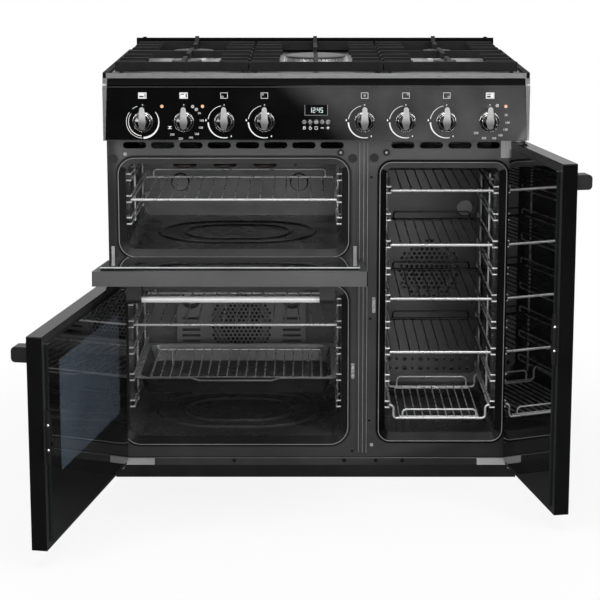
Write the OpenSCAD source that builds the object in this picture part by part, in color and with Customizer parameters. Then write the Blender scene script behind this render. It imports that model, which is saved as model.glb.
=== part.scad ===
// Dual-fuel range cooker: five gas burners over a drop-down grill oven,
// a side-hinged main oven and a tall side-hinged oven.
// Frame: millimetres, +Z up, front faces -Y, X = 0 in the middle of the width,
// Y = 0 on the front face of the oven facing, Z = 0 on the floor.
// The doors are drawn open, the shelves and trays pushed in.

/* [Overall] */
// Width across the hob
hob_w = 900; // [880:5:1000]
// Depth of the hob, front lip to rear edge
hob_d = 600; // [590:5:620]
// Height of the hob rim above the floor
hob_z = 900; // [880:1:920]
// How far the hob lip stands in front of the oven facing
hob_front = 43; // [43:1:46]
// Height of the folded hob rim
hob_rim_h = 11; // [9:1:12]
// How much wider the hob is than the cabinet, each side
side_reveal = 2; // [1:0.5:3]
// How far the hob overhangs the rear cover
rear_reveal = 27; // [20:1:40]
// Thickness of the cabinet sheet steel
sheet = 2; // [1.5:0.5:2.5]
// Thickness of the front facing
facing_t = 3; // [2:0.5:3]
// Height of the underside of the base frame
base_z = 28; // [26:1:30]
// Height of the base rails
base_h = 17; // [15:1:18]

/* [Doors] */
// Height of the door bottoms above the underside of the base frame
door_lift = 5; // [4:1:8]
// Gap between the doors and the control panel
top_gap = 6; // [5:1:12]
// Height of the grill door
grill_door_h = 294; // [280:1:300]
// Gap between neighbouring doors
door_gap = 3; // [3:0.5:5]
// Position of the gap between the left and right doors
split_x = 103.5; // [98:0.5:106]
// Depth of the pressed outer door panel
panel_t = 30; // [28:1:30]
// Thickness of the inner door pane
pane_t = 8; // [6:1:8]
// How far the inner pane stands in from the door edges
pane_inset = 15; // [14:1:18]
// Air gap between a closed door and the facing
seal_gap = 5; // [5:0.5:6]
// Angle of the open main oven door
main_open = 100.4; // [90:0.2:105]
// Angle of the open tall oven door
tall_open = 100.7; // [90:0.2:105]
// Angle of the open grill door
grill_open = 83; // [80:0.5:84]
// Hinge pin distance from the door edge
pin_inset = 18; // [16:1:18]
// Hinge pin diameter
pin_d = 8; // [6:0.5:9]
// Radial play of a pin or spindle in its bore
pin_play = 0.05; // [0.02:0.01:0.1]
// Window opening width in the main and grill doors
window_w = 400; // [300:10:420]
// Window opening height in the main door
window_h = 221; // [160:5:240]
// Distance from the main door top to its window
window_drop = 62; // [55:1:75]
// Distance from the edges of the grill door to its window
grill_window_in = 90; // [80:1:110]

/* [Handles] */
// Distance from the door top to the handle line
handle_drop = 40; // [38:1:50]
// Handle tube diameter
tube_d = 13; // [10:1:14]
// How far a handle post stands out from the door
post_out = 37; // [34:1:37]
// How far the tube axis stands out from the door
tube_out = 29.5; // [26:0.5:30]
// Width of a handle post
post_w = 30; // [22:1:32]
// Height of a handle post
post_h = 30; // [24:1:30]
// Post centres from the ends of the grill door
grill_post_in = 81; // [40:1:120]
// Post centres from the ends of the side-hinged doors
side_post_in = 33; // [30:1:90]

/* [Ovens] */
// Distance from the cabinet side to the left oven mouths
left_side_in = 23; // [22:1:32]
// Distance from the left oven mouths to the middle of the door gap
left_split_in = 32.5; // [32:0.5:42]
// Distance from the middle of the door gap to the tall oven mouth
tall_split_in = 33.5; // [30:0.5:46]
// Distance from the tall oven mouth to the cabinet side
tall_side_in = 38; // [37:1:48]
// Height of the grill oven mouth
grill_mouth_h = 217; // [200:1:220]
// Distance from the control panel to the grill oven mouth
grill_mouth_drop = 43; // [41:1:50]
// Height of the main oven mouth above the underside of the base frame
main_mouth_lift = 48; // [44:1:60]
// Distance from the main door top to the main oven mouth
main_mouth_drop = 17; // [14:1:30]
// Height of the tall oven mouth above the underside of the base frame
tall_mouth_lift = 56; // [52:1:66]
// Distance from the control panel to the tall oven mouth
tall_mouth_drop = 52; // [49:1:66]
// Width of the sloping oven mouth
mouth_in = 15; // [12:1:18]
// Depth of the sloping oven mouth
mouth_d = 14; // [10:1:18]
// Width of the raised lip round an oven mouth
lip_w = 5; // [3:0.5:6]
// How far the lip stands in front of the facing
lip_t = 2; // [1:0.5:2.5]
// Wall of an oven liner
liner_t = 2; // [1.5:0.5:2]
// Space between the ovens and the rear cover
rear_space = 90; // [80:5:110]

/* [Shelves and racks] */
// Wire diameter of the ladder racks
rack_wire = 4; // [3:0.5:4.5]
// Diameter of the rack uprights
rack_post = 5; // [4:0.5:5]
// Height of a ladder rung pair
rung_pair = 14; // [12:0.5:16]
// Vertical play of a shelf on its rung
shelf_play = 0.4; // [0.3:0.1:0.8]
// Diameter of a shelf frame wire
frame_wire = 6; // [5:0.5:6]
// Diameter of a shelf deck wire
deck_wire = 3; // [2:0.5:4]
// Front of the shelves behind the facing
shelf_y0 = 20; // [19:1:30]
// Room behind the shelves for the fan cover
shelf_room = 100; // [95:5:130]
// Height of the raised back stop of a shelf
stop_h = 18; // [12:1:22]
// Distance from the grill oven mouth top to its shelf
grill_shelf_drop = 95; // [84:1:105]
// Distance from the main oven mouth top to its shelf
main_shelf_drop = 96; // [86:1:105]
// Height of the roasting tray rim above the main oven mouth bottom
tray_lift = 145; // [138:1:150]
// Depth of the roasting tray
tray_h = 38; // [30:1:50]
// Height of the low rack above the tall oven mouth bottom
low_lift = 75; // [66:1:80]

/* [Controls] */
// Height of the control panel face
fascia_h = 115; // [110:1:120]
// Distance from the hob rim to the top edge of the control panel face
fascia_drop = 28; // [22:1:34]
// How far the control panel stands in front of the facing
fascia_y = 45; // [44:1:47]
// Height of the knob axes above the bottom edge of the panel
knob_lift = 40; // [36:1:46]
// Knob skirt diameter
knob_d = 39; // [34:1:44]
// Length of a knob pointer above its axis
pointer_l = 33; // [26:1:36]
// Spindle diameter of the taps and switches
spindle_d = 8; // [6:0.5:9]
// Push button diameter
button_d = 9.5; // [8:0.5:10]
// Spacing of the push buttons
button_pitch = 12.5; // [12:0.5:14]
// Push button travel
button_travel = 1.5; // [1:0.1:2]
// Width of the clock window
clock_w = 49; // [40:1:56]
// Height of the clock window
clock_h = 22; // [16:1:24]

/* [Hob] */
// Height of the pan support tops above the hob rim
grate_h = 22; // [20:1:26]
// Thickness of a cast pan support bar
bar_t = 9; // [7:1:11]
// Distance from the hob sides to the pan supports
grate_in = 26; // [20:1:40]
// Height of the rear upstand above the hob rim
upstand_h = 28; // [20:1:34]
// Depth of the sunken hob tray
tray_drop = 6; // [4:1:7]
// Width of the raised hob border
border = 12; // [10:1:16]

/* [Hidden] */
$fn = 48;

eps = 0.01;
cab_x = hob_w / 2 - side_reveal;
hob_y0 = -hob_front;
hob_y1 = hob_d - hob_front;
cabinet_d = hob_y1 - rear_reveal;
oven_d = cabinet_d - rear_space;
top_z = hob_z - hob_rim_h;
base_top = base_z + base_h;
fascia_z1 = hob_z - fascia_drop;
fascia_z0 = fascia_z1 - fascia_h;
door_x = cab_x + 1;
door_z = base_z + door_lift;
door_top = fascia_z0 - top_gap;
skin_y0 = -seal_gap - pane_t - panel_t;
skin_y1 = -seal_gap - pane_t;
pane_y1 = -seal_gap;
left_x1 = split_x - door_gap / 2;
right_x0 = split_x + door_gap / 2;
pin_x = door_x - pin_inset;
pin_y = (skin_y0 + pane_y1) / 2;
grill_z0 = door_top - grill_door_h;
main_door_top = grill_z0 - door_gap;
grill_pin_y = skin_y0 + 10;
grill_pin_z = grill_z0 + 18;
skin_t = 1.5;
bore_d = pin_d + 2 * pin_play;

left_mouth_x0 = -cab_x + left_side_in;
left_mouth_x1 = split_x - left_split_in;
tall_mouth_x0 = split_x + tall_split_in;
tall_mouth_x1 = cab_x - tall_side_in;
grill_mouth_z1 = fascia_z0 - grill_mouth_drop;
grill_mouth_z0 = grill_mouth_z1 - grill_mouth_h;
main_mouth_z0 = base_z + main_mouth_lift;
main_mouth_z1 = main_door_top - main_mouth_drop;
tall_mouth_z0 = base_z + tall_mouth_lift;
tall_mouth_z1 = fascia_z0 - tall_mouth_drop;

// oven mouths as [left, right, bottom, top, corner radius]
GRILL = [left_mouth_x0, left_mouth_x1, grill_mouth_z0, grill_mouth_z1, 36];
MAIN = [left_mouth_x0, left_mouth_x1, main_mouth_z0, main_mouth_z1, 40];
TALL = [tall_mouth_x0, tall_mouth_x1, tall_mouth_z0, tall_mouth_z1, 26];

// levelling feet
foot_in = 48;
foot_x = [-cab_x + foot_in, cab_x - foot_in];
foot_y = [foot_in - 3, cabinet_d - foot_in - 2];
foot_d = 10;

// sloping ends of the control panel: strip width at the top and bottom
cap_top_w = 10;
cap_low_w = 4.5;
cap_back_y = -fascia_y + 8;

// knobs and indicator lenses, measured from the cabinet sides
knob_x = concat(
    [for (d = [82, 169, 254, 339]) -cab_x + d], [for (d = [346, 259, 173, 82]) cab_x - d]
);
lamp_x = [-cab_x + 123, -cab_x + 208.5, cab_x - 48.5];
knob_z = fascia_z0 + knob_lift;
clock_z0 = knob_z + 14;
indicator_z = knob_z + 33;
manifold_y = 6;
inlet_x = cab_x - 118;
knob_y = -fascia_y - 1;
valve_y = -fascia_y + 12;

// grill door lugs: left edges and thickness
lug_t = 5;
lug_x = [-door_x + 9, left_x1 - 19];
catch_in = 21;
catch_main = [left_x1 - catch_in, (door_z + main_door_top - 3) / 2];
catch_tall = [right_x0 + catch_in, (door_z + door_top - 4) / 2];
hinge_plate_t = 2.2;

// screws: bright ones on the facing and the base, and the two in rubber bumpers
screw_z = fascia_z0 - 35;
base_screw_z = base_top - 6;
SCREWS = [
    [-door_x + 40, screw_z], [right_x0 + 18, tall_mouth_z0 - 9.4], [-180, base_screw_z],
    [left_x1 - 39, base_screw_z], [right_x0 + 28, base_screw_z], [right_x0 + 86, base_screw_z]
];
BUMPERS = [
    [left_x1 - 23.5, screw_z - 9], [right_x0 + 20, screw_z - 8], [-door_x + 14.4, screw_z - 10.5]
];
SCREWED_BUMPERS = [[left_x1 - 49, screw_z + 3.5], [right_x0 + 46, screw_z + 3.5]];

// plain holes in the facing as [x, z]
HOLES = [
    [right_x0 + 14, screw_z - 50], [right_x0 + 13.5, catch_tall[1] - 30],
    [right_x0 + 13, tall_mouth_z0 + 46], [left_x1 - 21.5, main_mouth_z0 - 16]
];

// ladder rungs: distance of the uprights and rungs from the oven wall
post_off = 6;
rung_off = 9.5;
rail_off = 12;
stop_in = 20;
rung_drop = frame_wire / 2 + rack_wire / 2 + shelf_play;
rack_y0 = mouth_d + 8;
rack_y1 = oven_d - 60;
shelf_d = oven_d - shelf_y0 - shelf_room;
grill_shelf_z = grill_mouth_z1 - grill_shelf_drop;
main_shelf_z = main_mouth_z1 - main_shelf_drop;
tray_z = main_mouth_z0 + tray_lift;
low_level = tall_mouth_z0 + low_lift;
tall_pitch = (tall_mouth_z1 - low_level - 66) / 8;
tall_shelf_z = low_level + 2 * tall_pitch;
grill_levels = [grill_shelf_z - 48, grill_shelf_z, grill_shelf_z + 48];
main_levels = [tray_z - 60, tray_z, (tray_z + main_shelf_z) / 2, main_shelf_z, main_shelf_z + 50];
tall_levels = [for (i = [0:8]) low_level + tall_pitch * i];

fan_y = oven_d - 24;
cover_y = oven_d - 40;
main_fan_x = (left_mouth_x0 + left_mouth_x1) / 2;
main_fan_z = (main_mouth_z0 + main_mouth_z1 - 9) / 2;
tall_fan_x = (tall_mouth_x0 + tall_mouth_x1) / 2;
tall_fan_z = (tall_mouth_z0 + tall_mouth_z1 - 21) / 2;
fan_r = 55;

// lamps as [x, z]; the covers leave round openings for the last three
lamp_d = 38;
LAMPS = [
    [main_fan_x - 145, grill_mouth_z1 - 121], [main_fan_x + 139, grill_mouth_z1 - 121],
    [main_fan_x - 121, main_fan_z + 62], [main_fan_x + 121, main_fan_z + 62],
    [tall_mouth_x1 - 52, tall_fan_z + 148]
];

// burners as [x, y, cap radius]
recess_z = hob_z - tray_drop;
grates_w = hob_w - 2 * grate_in;
grate_gap = 3;
cast_w = (grates_w - 2 * grate_gap) / 3;
hob_mid_x = cast_w + grate_gap;
front_burner_y = hob_y0 + 183;
rear_burner_y = hob_y1 - 167;
BURNERS = [
    [-hob_mid_x, front_burner_y, 32], [-hob_mid_x, rear_burner_y, 46],
    [0, (hob_y0 + hob_y1) / 2 + 5, 66],
    [hob_mid_x, front_burner_y, 24], [hob_mid_x, rear_burner_y, 32]
];

// ---------- shared shapes ----------

module box(x0, x1, y0, y1, z0, z1) {
    translate([x0, y0, z0])
        cube([x1 - x0, y1 - y0, z1 - z0]);
}

// rounded rectangle centred on the origin
module rounded(w, h, r) {
    if (w > 2 * r + eps)
        square([w - 2 * r, h], center = true);
    if (h > 2 * r + eps)
        square([w, h - 2 * r], center = true);
    for (sx = [-1, 1], sz = [-1, 1])
        translate([sx * (w / 2 - r), sz * (h / 2 - r)])
            circle(r);
}

// rounded plate that stands across the Y axis
module yplate(x0, x1, y0, y1, z0, z1, r) {
    translate([(x0 + x1) / 2, y1, (z0 + z1) / 2])
        rotate([90, 0, 0])
            linear_extrude(y1 - y0)
                rounded(x1 - x0, z1 - z0, r);
}

// rounded plate that lies across the Z axis
module zplate(x0, x1, y0, y1, z0, z1, r) {
    translate([(x0 + x1) / 2, (y0 + y1) / 2, z0])
        linear_extrude(z1 - z0)
            rounded(x1 - x0, y1 - y0, r);
}

module rod_x(x0, x1, y, z, d) {
    translate([x0, y, z])
        rotate([0, 90, 0])
            cylinder(h = x1 - x0, d = d);
}

module rod_y(y0, y1, x, z, d) {
    translate([x, y0, z])
        rotate([-90, 0, 0])
            cylinder(h = y1 - y0, d = d);
}

module rod_z(z0, z1, x, y, d) {
    translate([x, y, z0])
        cylinder(h = z1 - z0, d = d);
}

// swings a closed side-hinged door about its pin to the drawn position
module swung(side, angle) {
    translate([side * pin_x, pin_y, 0])
        rotate([0, 0, side * angle])
            translate([-side * pin_x, -pin_y, 0])
                children();
}

// drops the closed grill door to the drawn position
module dropped() {
    translate([0, grill_pin_y, grill_pin_z])
        rotate([grill_open, 0, 0])
            translate([0, -grill_pin_y, -grill_pin_z])
                children();
}

// ---------- cabinet ----------

module base_frame() {
    rail = 16;
    xi = cab_x - sheet;
    yi = cabinet_d - sheet;
    color("#2b2b2d") {
        // base tray, open below
        difference() {
            box(-xi, xi, 0, yi, base_z, base_top);
            box(-xi + 3, xi - 3, 3, yi - 3, base_z - 1, base_top - 2);
        }
        // bosses for the feet
        for (x = foot_x, y = foot_y)
            difference() {
                rod_z(base_z, base_top - 1, x, y, 22);
                rod_z(base_z - 1, base_top - 3, x, y, foot_d + 0.2);
            }
        // rear posts and side rails
        for (x = [-xi, xi - rail]) {
            box(x, x + rail, yi - rail, yi, base_top - eps, top_z);
            box(x, x + rail, facing_t, yi, fascia_z0 - rail / 2, fascia_z0);
        }
        // rear top rail and front cross rail
        box(-xi, xi, yi - rail, yi, top_z - rail, top_z);
        box(-xi, xi, facing_t, facing_t + rail, fascia_z0 - rail / 2, fascia_z0 - rail / 2 + 2);
        // wall between the two oven stacks
        box(split_x - 1, split_x + 1, facing_t, yi, base_top - eps, fascia_z0);
    }
}

module side_panels() {
    color("#1b1b1d")
        for (s = [-1, 1])
            translate([s > 0 ? cab_x - sheet : -cab_x, 0, 0])
                rotate([90, 0, 90])
                    linear_extrude(sheet)
                        difference() {
                            polygon([
                                [facing_t, base_z], [cabinet_d, base_z], [cabinet_d, top_z],
                                [cap_back_y, top_z], [cap_back_y, fascia_z0],
                                [facing_t, fascia_z0]
                            ]);
                            for (y = [0:5])
                                translate([cabinet_d - 150 + 22 * y, top_z - 90])
                                    rounded(10, 60, 5);
                        }
}

module rear_cover() {
    color("#9a9a98")
        difference() {
            yplate(-cab_x + sheet, cab_x - sheet, cabinet_d - sheet, cabinet_d,
                   base_top, top_z, 3);
            for (x = [-5:5], z = [base_top + 105, knob_z - 377, knob_z - 157])
                yplate(x * 70 - 25, x * 70 + 25, cabinet_d - sheet - 1, cabinet_d + 1,
                       z, z + 8, 4);
            rod_y(cabinet_d - sheet - 1, cabinet_d + 1, inlet_x, knob_z, 26);
        }
}

module plinth() {
    color("#1e1e1f")
        difference() {
            box(-cab_x + 6, cab_x - 6, 1, 22, 0, base_z);
            box(-cab_x + 8, cab_x - 8, 3, 23, -1, base_z - 2);
        }
}

module levelling_feet() {
    color("#3a3a3c")
        for (x = foot_x, y = foot_y) {
            rod_z(0, 8, x, y, 38);
            rod_z(8 - eps, base_top - 3.5, x, y, foot_d);
        }
}

// outline of a vent slot in the facing
module vent_slot(x) {
    translate([x, fascia_z0 - 16])
        rounded(50, 14, 7);
}

// the outline of an oven mouth, grown by g
module mouth_outline(m, g) {
    translate([(m[0] + m[1]) / 2, (m[2] + m[3]) / 2])
        rounded(m[1] - m[0] + 2 * g, m[3] - m[2] + 2 * g, m[4] + g);
}

module front_frame() {
    color("#4a4a4c") {
        translate([0, facing_t, 0])
            rotate([90, 0, 0])
                linear_extrude(facing_t)
                    difference() {
                        polygon([
                            [-cab_x, base_top + 2], [cab_x, base_top + 2],
                            [cab_x, fascia_z0], [-cab_x, fascia_z0]
                        ]);
                        mouth_outline(GRILL, liner_t);
                        mouth_outline(MAIN, liner_t);
                        mouth_outline(TALL, liner_t);
                        for (i = [0:7])
                            vent_slot(left_mouth_x0 + 36.6
                                      + i * (left_mouth_x1 - left_mouth_x0 - 73.2) / 7);
                        for (i = [0:3])
                            vent_slot(tall_mouth_x0 + 49
                                      + i * (tall_mouth_x1 - tall_mouth_x0 - 90) / 3);
                        for (p = HOLES)
                            translate(p)
                                circle(d = 5);
                        // slots of the two door catches
                        for (c = [catch_main, catch_tall])
                            translate(c)
                                rounded(8, 36, 2);
                    }
        // folded edges of the divider
        for (x = [split_x - 14.5, split_x + 6])
            box(x, x + 2, -2, eps, base_top + 12, fascia_z0 - 10);
    }
}

// ---------- oven liners ----------

// trapezoid prism along Z, w0 wide at Y = 0 and w1 wide at Y = d
module wedge(w0, w1, d, h) {
    linear_extrude(h)
        polygon([[-w0 / 2, 0], [w0 / 2, 0], [w1 / 2, d], [-w1 / 2, d]]);
}

// rounded w by h opening at Y = 0 that narrows by inset on every side at Y = d
module funnel(w, h, r, inset, d) {
    translate([0, 0, r - h / 2])
        wedge(w, w - 2 * inset, d, h - 2 * r);
    translate([w / 2 - r, 0, 0])
        rotate([0, -90, 0])
            wedge(h, h - 2 * inset, d, w - 2 * r);
    for (sx = [-1, 1], sz = [-1, 1])
        translate([sx * (w / 2 - r), 0, sz * (h / 2 - r)])
            rotate([-90, 0, 0])
                cylinder(h = d, r1 = r, r2 = r - inset);
}

// sloping mouth of an oven: g grows it by the wall thickness
module mouth_space(m, g) {
    translate([(m[0] + m[1]) / 2, 0, (m[2] + m[3]) / 2])
        funnel(m[1] - m[0] + 2 * g, m[3] - m[2] + 2 * g, m[4] + g, mouth_in, mouth_d);
}

// straight part of an oven, grown by g
module liner_space(m, g, y0) {
    yplate(m[0] + mouth_in - g, m[1] - mouth_in + g, y0, oven_d + g,
           m[2] + mouth_in - g, m[3] - mouth_in + g, m[4] - mouth_in + g);
}

module lip_plate(m, g, y0, y1) {
    yplate(m[0] - g, m[1] + g, y0, y1, m[2] - g, m[3] + g, m[4] + g);
}

module liner(m) {
    difference() {
        union() {
            liner_space(m, liner_t, mouth_d);
            mouth_space(m, liner_t);
            lip_plate(m, lip_w, -lip_t, 0);
        }
        liner_space(m, 0, mouth_d - eps);
        mouth_space(m, 0);
        lip_plate(m, 0, -lip_t - 1, eps);
    }
}

// closed round bar in a plane across Z: two half rings joined by straight bars
module oval_bar(rx, ry, d) {
    for (s = [-1, 1])
        translate([s * (rx - ry), 0, 0])
            rotate([0, 0, -s * 90])
                rotate_extrude(angle = 180)
                    translate([ry, 0])
                        circle(d = d);
    for (s = [-1, 1])
        rod_x(-rx + ry, rx - ry, s * ry, 0, d);
}

// rounded ridges pressed in a liner floor, as [half length, half width]
module floor_rings(m, sizes) {
    ridge_d = 14;
    ridge_h = 2.5;
    fz = m[2] + mouth_in;
    intersection() {
        translate([(m[0] + m[1]) / 2, oven_d / 2, fz + ridge_h - ridge_d / 2])
            for (s = sizes)
                oval_bar(s[0], s[1], ridge_d);
        box(m[0], m[1], 0, oven_d, fz - eps, fz + ridge_d);
    }
}

// raised rectangle pressed in a liner back
module back_frame(x0, x1, z0, z1) {
    difference() {
        yplate(x0, x1, oven_d - 3, oven_d + eps, z0, z1, 20);
        yplate(x0 + 7, x1 - 7, oven_d - 4, oven_d + 1, z0 + 7, z1 - 7, 14);
    }
}

module shaft_hole(x, z) {
    rod_y(oven_d - 1, oven_d + liner_t + 1, x, z, 14);
}

module grill_cavity() {
    color("#202022") {
        liner(GRILL);
        floor_rings(GRILL, [[175, 130], [120, 85]]);
        back_frame(GRILL[0] + 50, GRILL[1] - 50, grill_mouth_z0 + 50, grill_mouth_z1 - 35);
    }
}

module main_cavity() {
    color("#202022") {
        difference() {
            liner(MAIN);
            shaft_hole(main_fan_x, main_fan_z);
        }
        floor_rings(MAIN, [[185, 140], [125, 90]]);
    }
}

module tall_cavity() {
    color("#202022")
        difference() {
            liner(TALL);
            shaft_hole(tall_fan_x, tall_fan_z);
        }
}

// one ladder rack on the wall at x; side is the direction into the oven
module ladder(x, side, levels, z0, z1) {
    xp = x + side * post_off;
    xr = x + side * rung_off;
    for (y = [rack_y0 + 124, rack_y1 - 40]) {
        rod_z(z0, z1, xp, y, rack_post);
        // fixing studs that reach the liner wall
        for (z = [z0 + 14, z1 - 14])
            rod_x(min(x, xp), max(x, xp), y, z, rack_post - 1);
    }
    // each pair of rungs is one wire, round at the back and bent to the wall at the front
    for (z = levels) {
        translate([xr, rack_y1 - rung_pair / 2, z + rung_pair / 2 - rung_drop])
            rotate([0, 90, 0])
                rotate_extrude(angle = 180)
                    translate([rung_pair / 2, 0])
                        circle(d = rack_wire);
        for (zr = [z - rung_drop, z - rung_drop + rung_pair]) {
            rod_y(rack_y0, rack_y1 - rung_pair / 2, xr, zr, rack_wire);
            rod_x(min(x, xr), max(x, xr), rack_y0, zr, rack_wire);
            translate([xr, rack_y0, zr])
                sphere(d = rack_wire);
        }
    }
}

module rack_pair(m, levels, z0, z1) {
    ladder(m[0] + mouth_in, 1, levels, z0, z1);
    ladder(m[1] - mouth_in, -1, levels, z0, z1);
}

module ladder_racks() {
    color("#c9c9cc") {
        rack_pair(GRILL, grill_levels, grill_levels[0] - 20, grill_levels[2] + 20);
        rack_pair(MAIN, main_levels, main_levels[0] - 25, main_levels[4] + 20);
        rack_pair(TALL, tall_levels, tall_levels[0] - 25, tall_levels[8] + 20);
    }
}

// perforated disc pattern: hex grid of holes inside radius r
module hex_holes(r, pitch, d, sides) {
    n = ceil(r / pitch) + 1;
    for (i = [-n:n], j = [-n:n]) {
        x = (i + j / 2) * pitch;
        z = j * pitch * 0.8660254;
        if (x * x + z * z < r * r)
            translate([x, cover_y - 1, z])
                rotate([-90, 0, 0])
                    cylinder(h = 4, d = d, $fn = sides);
    }
}

// tray-shaped cover from x0 to x1 and z0 to z1
module cover_shell(x0, x1, z0, z1) {
    t = 1.5;
    difference() {
        yplate(x0, x1, cover_y, oven_d, z0, z1, 16);
        yplate(x0 + t, x1 - t, cover_y + t, oven_d + 1, z0 + t, z1 - t, 16 - t);
    }
}

module cover_hole(x, z, d) {
    rod_y(cover_y - 1, cover_y + 3, x, z, d);
}

module fan_covers() {
    main_w = left_mouth_x1 - left_mouth_x0 - 186;
    main_h = main_mouth_z1 - main_mouth_z0 - 127;
    slot_x = main_w / 2 - 34;
    ring_d = main_h - 60;
    color("#6d6d70") {
        // main oven: hex grid in a raised ring, slots at the sides, two lamp openings
        difference() {
            cover_shell(main_fan_x - main_w / 2, main_fan_x + main_w / 2,
                        main_fan_z - main_h / 2, main_fan_z + main_h / 2);
            translate([main_fan_x, 0, main_fan_z]) {
                hex_holes(ring_d / 2 - 13, 10.4, 8, 6);
                for (s = [-1, 1], i = [-3:1])
                    yplate(s * slot_x - 22, s * slot_x + 22, cover_y - 1, cover_y + 3,
                           i * 14 - 3, i * 14 + 3, 2.9);
            }
            for (i = [2, 3])
                cover_hole(LAMPS[i][0], LAMPS[i][1], lamp_d + 10);
        }
        translate([main_fan_x, 0, main_fan_z])
            difference() {
                rod_y(cover_y - 2, cover_y + eps, 0, 0, ring_d);
                rod_y(cover_y - 3, cover_y + 1, 0, 0, ring_d - 10);
            }
        // tall oven: plate over the whole back with two rows of holes at its foot
        difference() {
            cover_shell(tall_mouth_x0 + mouth_in + 8, tall_mouth_x1 - mouth_in - 8,
                        low_level - 29, tall_mouth_z1 - mouth_in - 14);
            translate([tall_fan_x, 0, tall_fan_z])
                hex_holes(74, 12, 8.4, 24);
            for (i = [-2.5:2.5], z = [low_level + 7, low_level - 16]) {
                cover_hole(tall_fan_x + i * 38, z, 11);
                cover_hole(tall_fan_x + i * 38 + 19, z, 6);
            }
            cover_hole(LAMPS[4][0], LAMPS[4][1], lamp_d + 6);
        }
    }
}

// fan wheel on its shaft, axis along Y through the origin
module fan() {
    difference() {
        union() {
            rod_y(fan_y, fan_y + 1.5, 0, 0, 2 * fan_r);
            rod_y(fan_y - 14, fan_y + 1.5, 0, 0, 20);
            rod_y(fan_y - 10, oven_d + liner_t + 14, 0, 0, spindle_d);
            for (a = [0:45:315])
                rotate([0, a, 0])
                    box(20, fan_r - 2, fan_y - 12, fan_y + eps, -0.75, 0.75);
        }
        rod_y(fan_y - 15, fan_y - 10, 0, 0, 6);
    }
}

module main_fan() {
    color("#8c8c90")
        translate([main_fan_x, 0, main_fan_z])
            fan();
}

module tall_fan() {
    color("#8c8c90")
        translate([tall_fan_x, 0, tall_fan_z])
            fan();
}

module motor(x, z) {
    y0 = oven_d + liner_t;
    translate([x, 0, z])
        difference() {
            union() {
                yplate(-38, 38, y0, y0 + 3, -38, 38, 6);
                rod_y(y0 + 3 - eps, y0 + 36, 0, 0, 60);
                rod_y(y0 + 36 - eps, y0 + 42, 0, 0, 22);
            }
            rod_y(y0 - 1, y0 + 16, 0, 0, spindle_d + 2 * pin_play);
        }
}

module fan_motors() {
    color("#77777a") {
        motor(main_fan_x, main_fan_z);
        motor(tall_fan_x, tall_fan_z);
    }
}

// heating ring round a fan, with its two ends through the liner back
module ring_element(x, z, r) {
    translate([x, 0, z]) {
        translate([0, fan_y - 4, 0])
            rotate([-90, 0, 0])
                rotate_extrude()
                    translate([r, 0])
                        circle(d = 6.5);
        for (a = [-12, 12])
            translate([r * sin(a), 0, r * cos(a)])
                rod_y(fan_y - 4, oven_d, 0, 0, 5.5);
    }
}

// grill element: parallel legs under the ceiling joined by round bends
module grill_element() {
    z = grill_mouth_z1 - mouth_in - 13;
    cx = (left_mouth_x0 + left_mouth_x1) / 2;
    pitch = 44;
    legs = 7;
    x0 = cx - pitch * (legs - 1) / 2;
    for (i = [0:legs - 1])
        rod_y(89, i == 0 || i == legs - 1 ? oven_d : 301, x0 + i * pitch, z, 7.4);
    for (i = [0:legs - 2])
        translate([x0 + (i + 0.5) * pitch, i % 2 == 0 ? 90 : 300, z])
            rotate([0, 0, i % 2 == 0 ? 180 : 0])
                rotate_extrude(angle = 180)
                    translate([pitch / 2, 0])
                        circle(d = 8);
}

module heating_elements() {
    color("#5b5550") {
        ring_element(main_fan_x, main_fan_z, 72);
        ring_element(tall_fan_x, tall_fan_z, 68);
        grill_element();
    }
}

module oven_lamps() {
    color("#d8dde0")
        for (p = LAMPS)
            translate([p[0], 0, p[1]]) {
                rod_y(oven_d - 5, oven_d, 0, 0, lamp_d + 6);
                rod_y(oven_d - 14, oven_d - 5 + eps, 0, 0, lamp_d);
            }
}

// ---------- controls ----------

// folded section of the control panel, front to the left
function fascia_profile(t) = [
    [-fascia_y + t, fascia_z0 + t], [-fascia_y + t, fascia_z1 - t * 0.4],
    [-fascia_y + 6 + t, fascia_z1 + 2], [-fascia_y + 6 + t, top_z - t],
    [-t, top_z - t], [-t, fascia_z0 + t]
];

// the panel's outline seen from the front, with its sloping ends
module fascia_front() {
    xt = hob_w / 2 - cap_top_w;
    xb = hob_w / 2 - cap_low_w;
    translate([0, 5, 0])
        rotate([90, 0, 0])
            linear_extrude(fascia_y + 10)
                polygon([
                    [-xb, fascia_z0 - 1], [xb, fascia_z0 - 1], [xt, top_z + 1], [-xt, top_z + 1]
                ]);
}

module control_panel() {
    color("#0c0c0d")
        difference() {
            intersection() {
                translate([-hob_w / 2, 0, 0])
                    rotate([90, 0, 90])
                        linear_extrude(hob_w)
                            difference() {
                                polygon(fascia_profile(0));
                                polygon(fascia_profile(2));
                            }
                fascia_front();
            }
            // open back between the two flanges
            box(-hob_w / 2, hob_w / 2, -3, 1, fascia_z0 + 14, top_z - 10);
            for (x = knob_x)
                rod_y(-fascia_y - 1, -fascia_y + 3, x, knob_z, spindle_d + 5);
            for (i = [-2:2])
                rod_y(-fascia_y - 1, -fascia_y + 3, i * button_pitch, knob_z,
                      button_d + 0.2);
            yplate(-clock_w / 2, clock_w / 2, -fascia_y - 1, -fascia_y + 3,
                   clock_z0, clock_z0 + clock_h, 1.5);
            for (x = lamp_x)
                rod_y(-fascia_y - 1, -fascia_y + 3, x, indicator_z, 7);
        }
}

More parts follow.
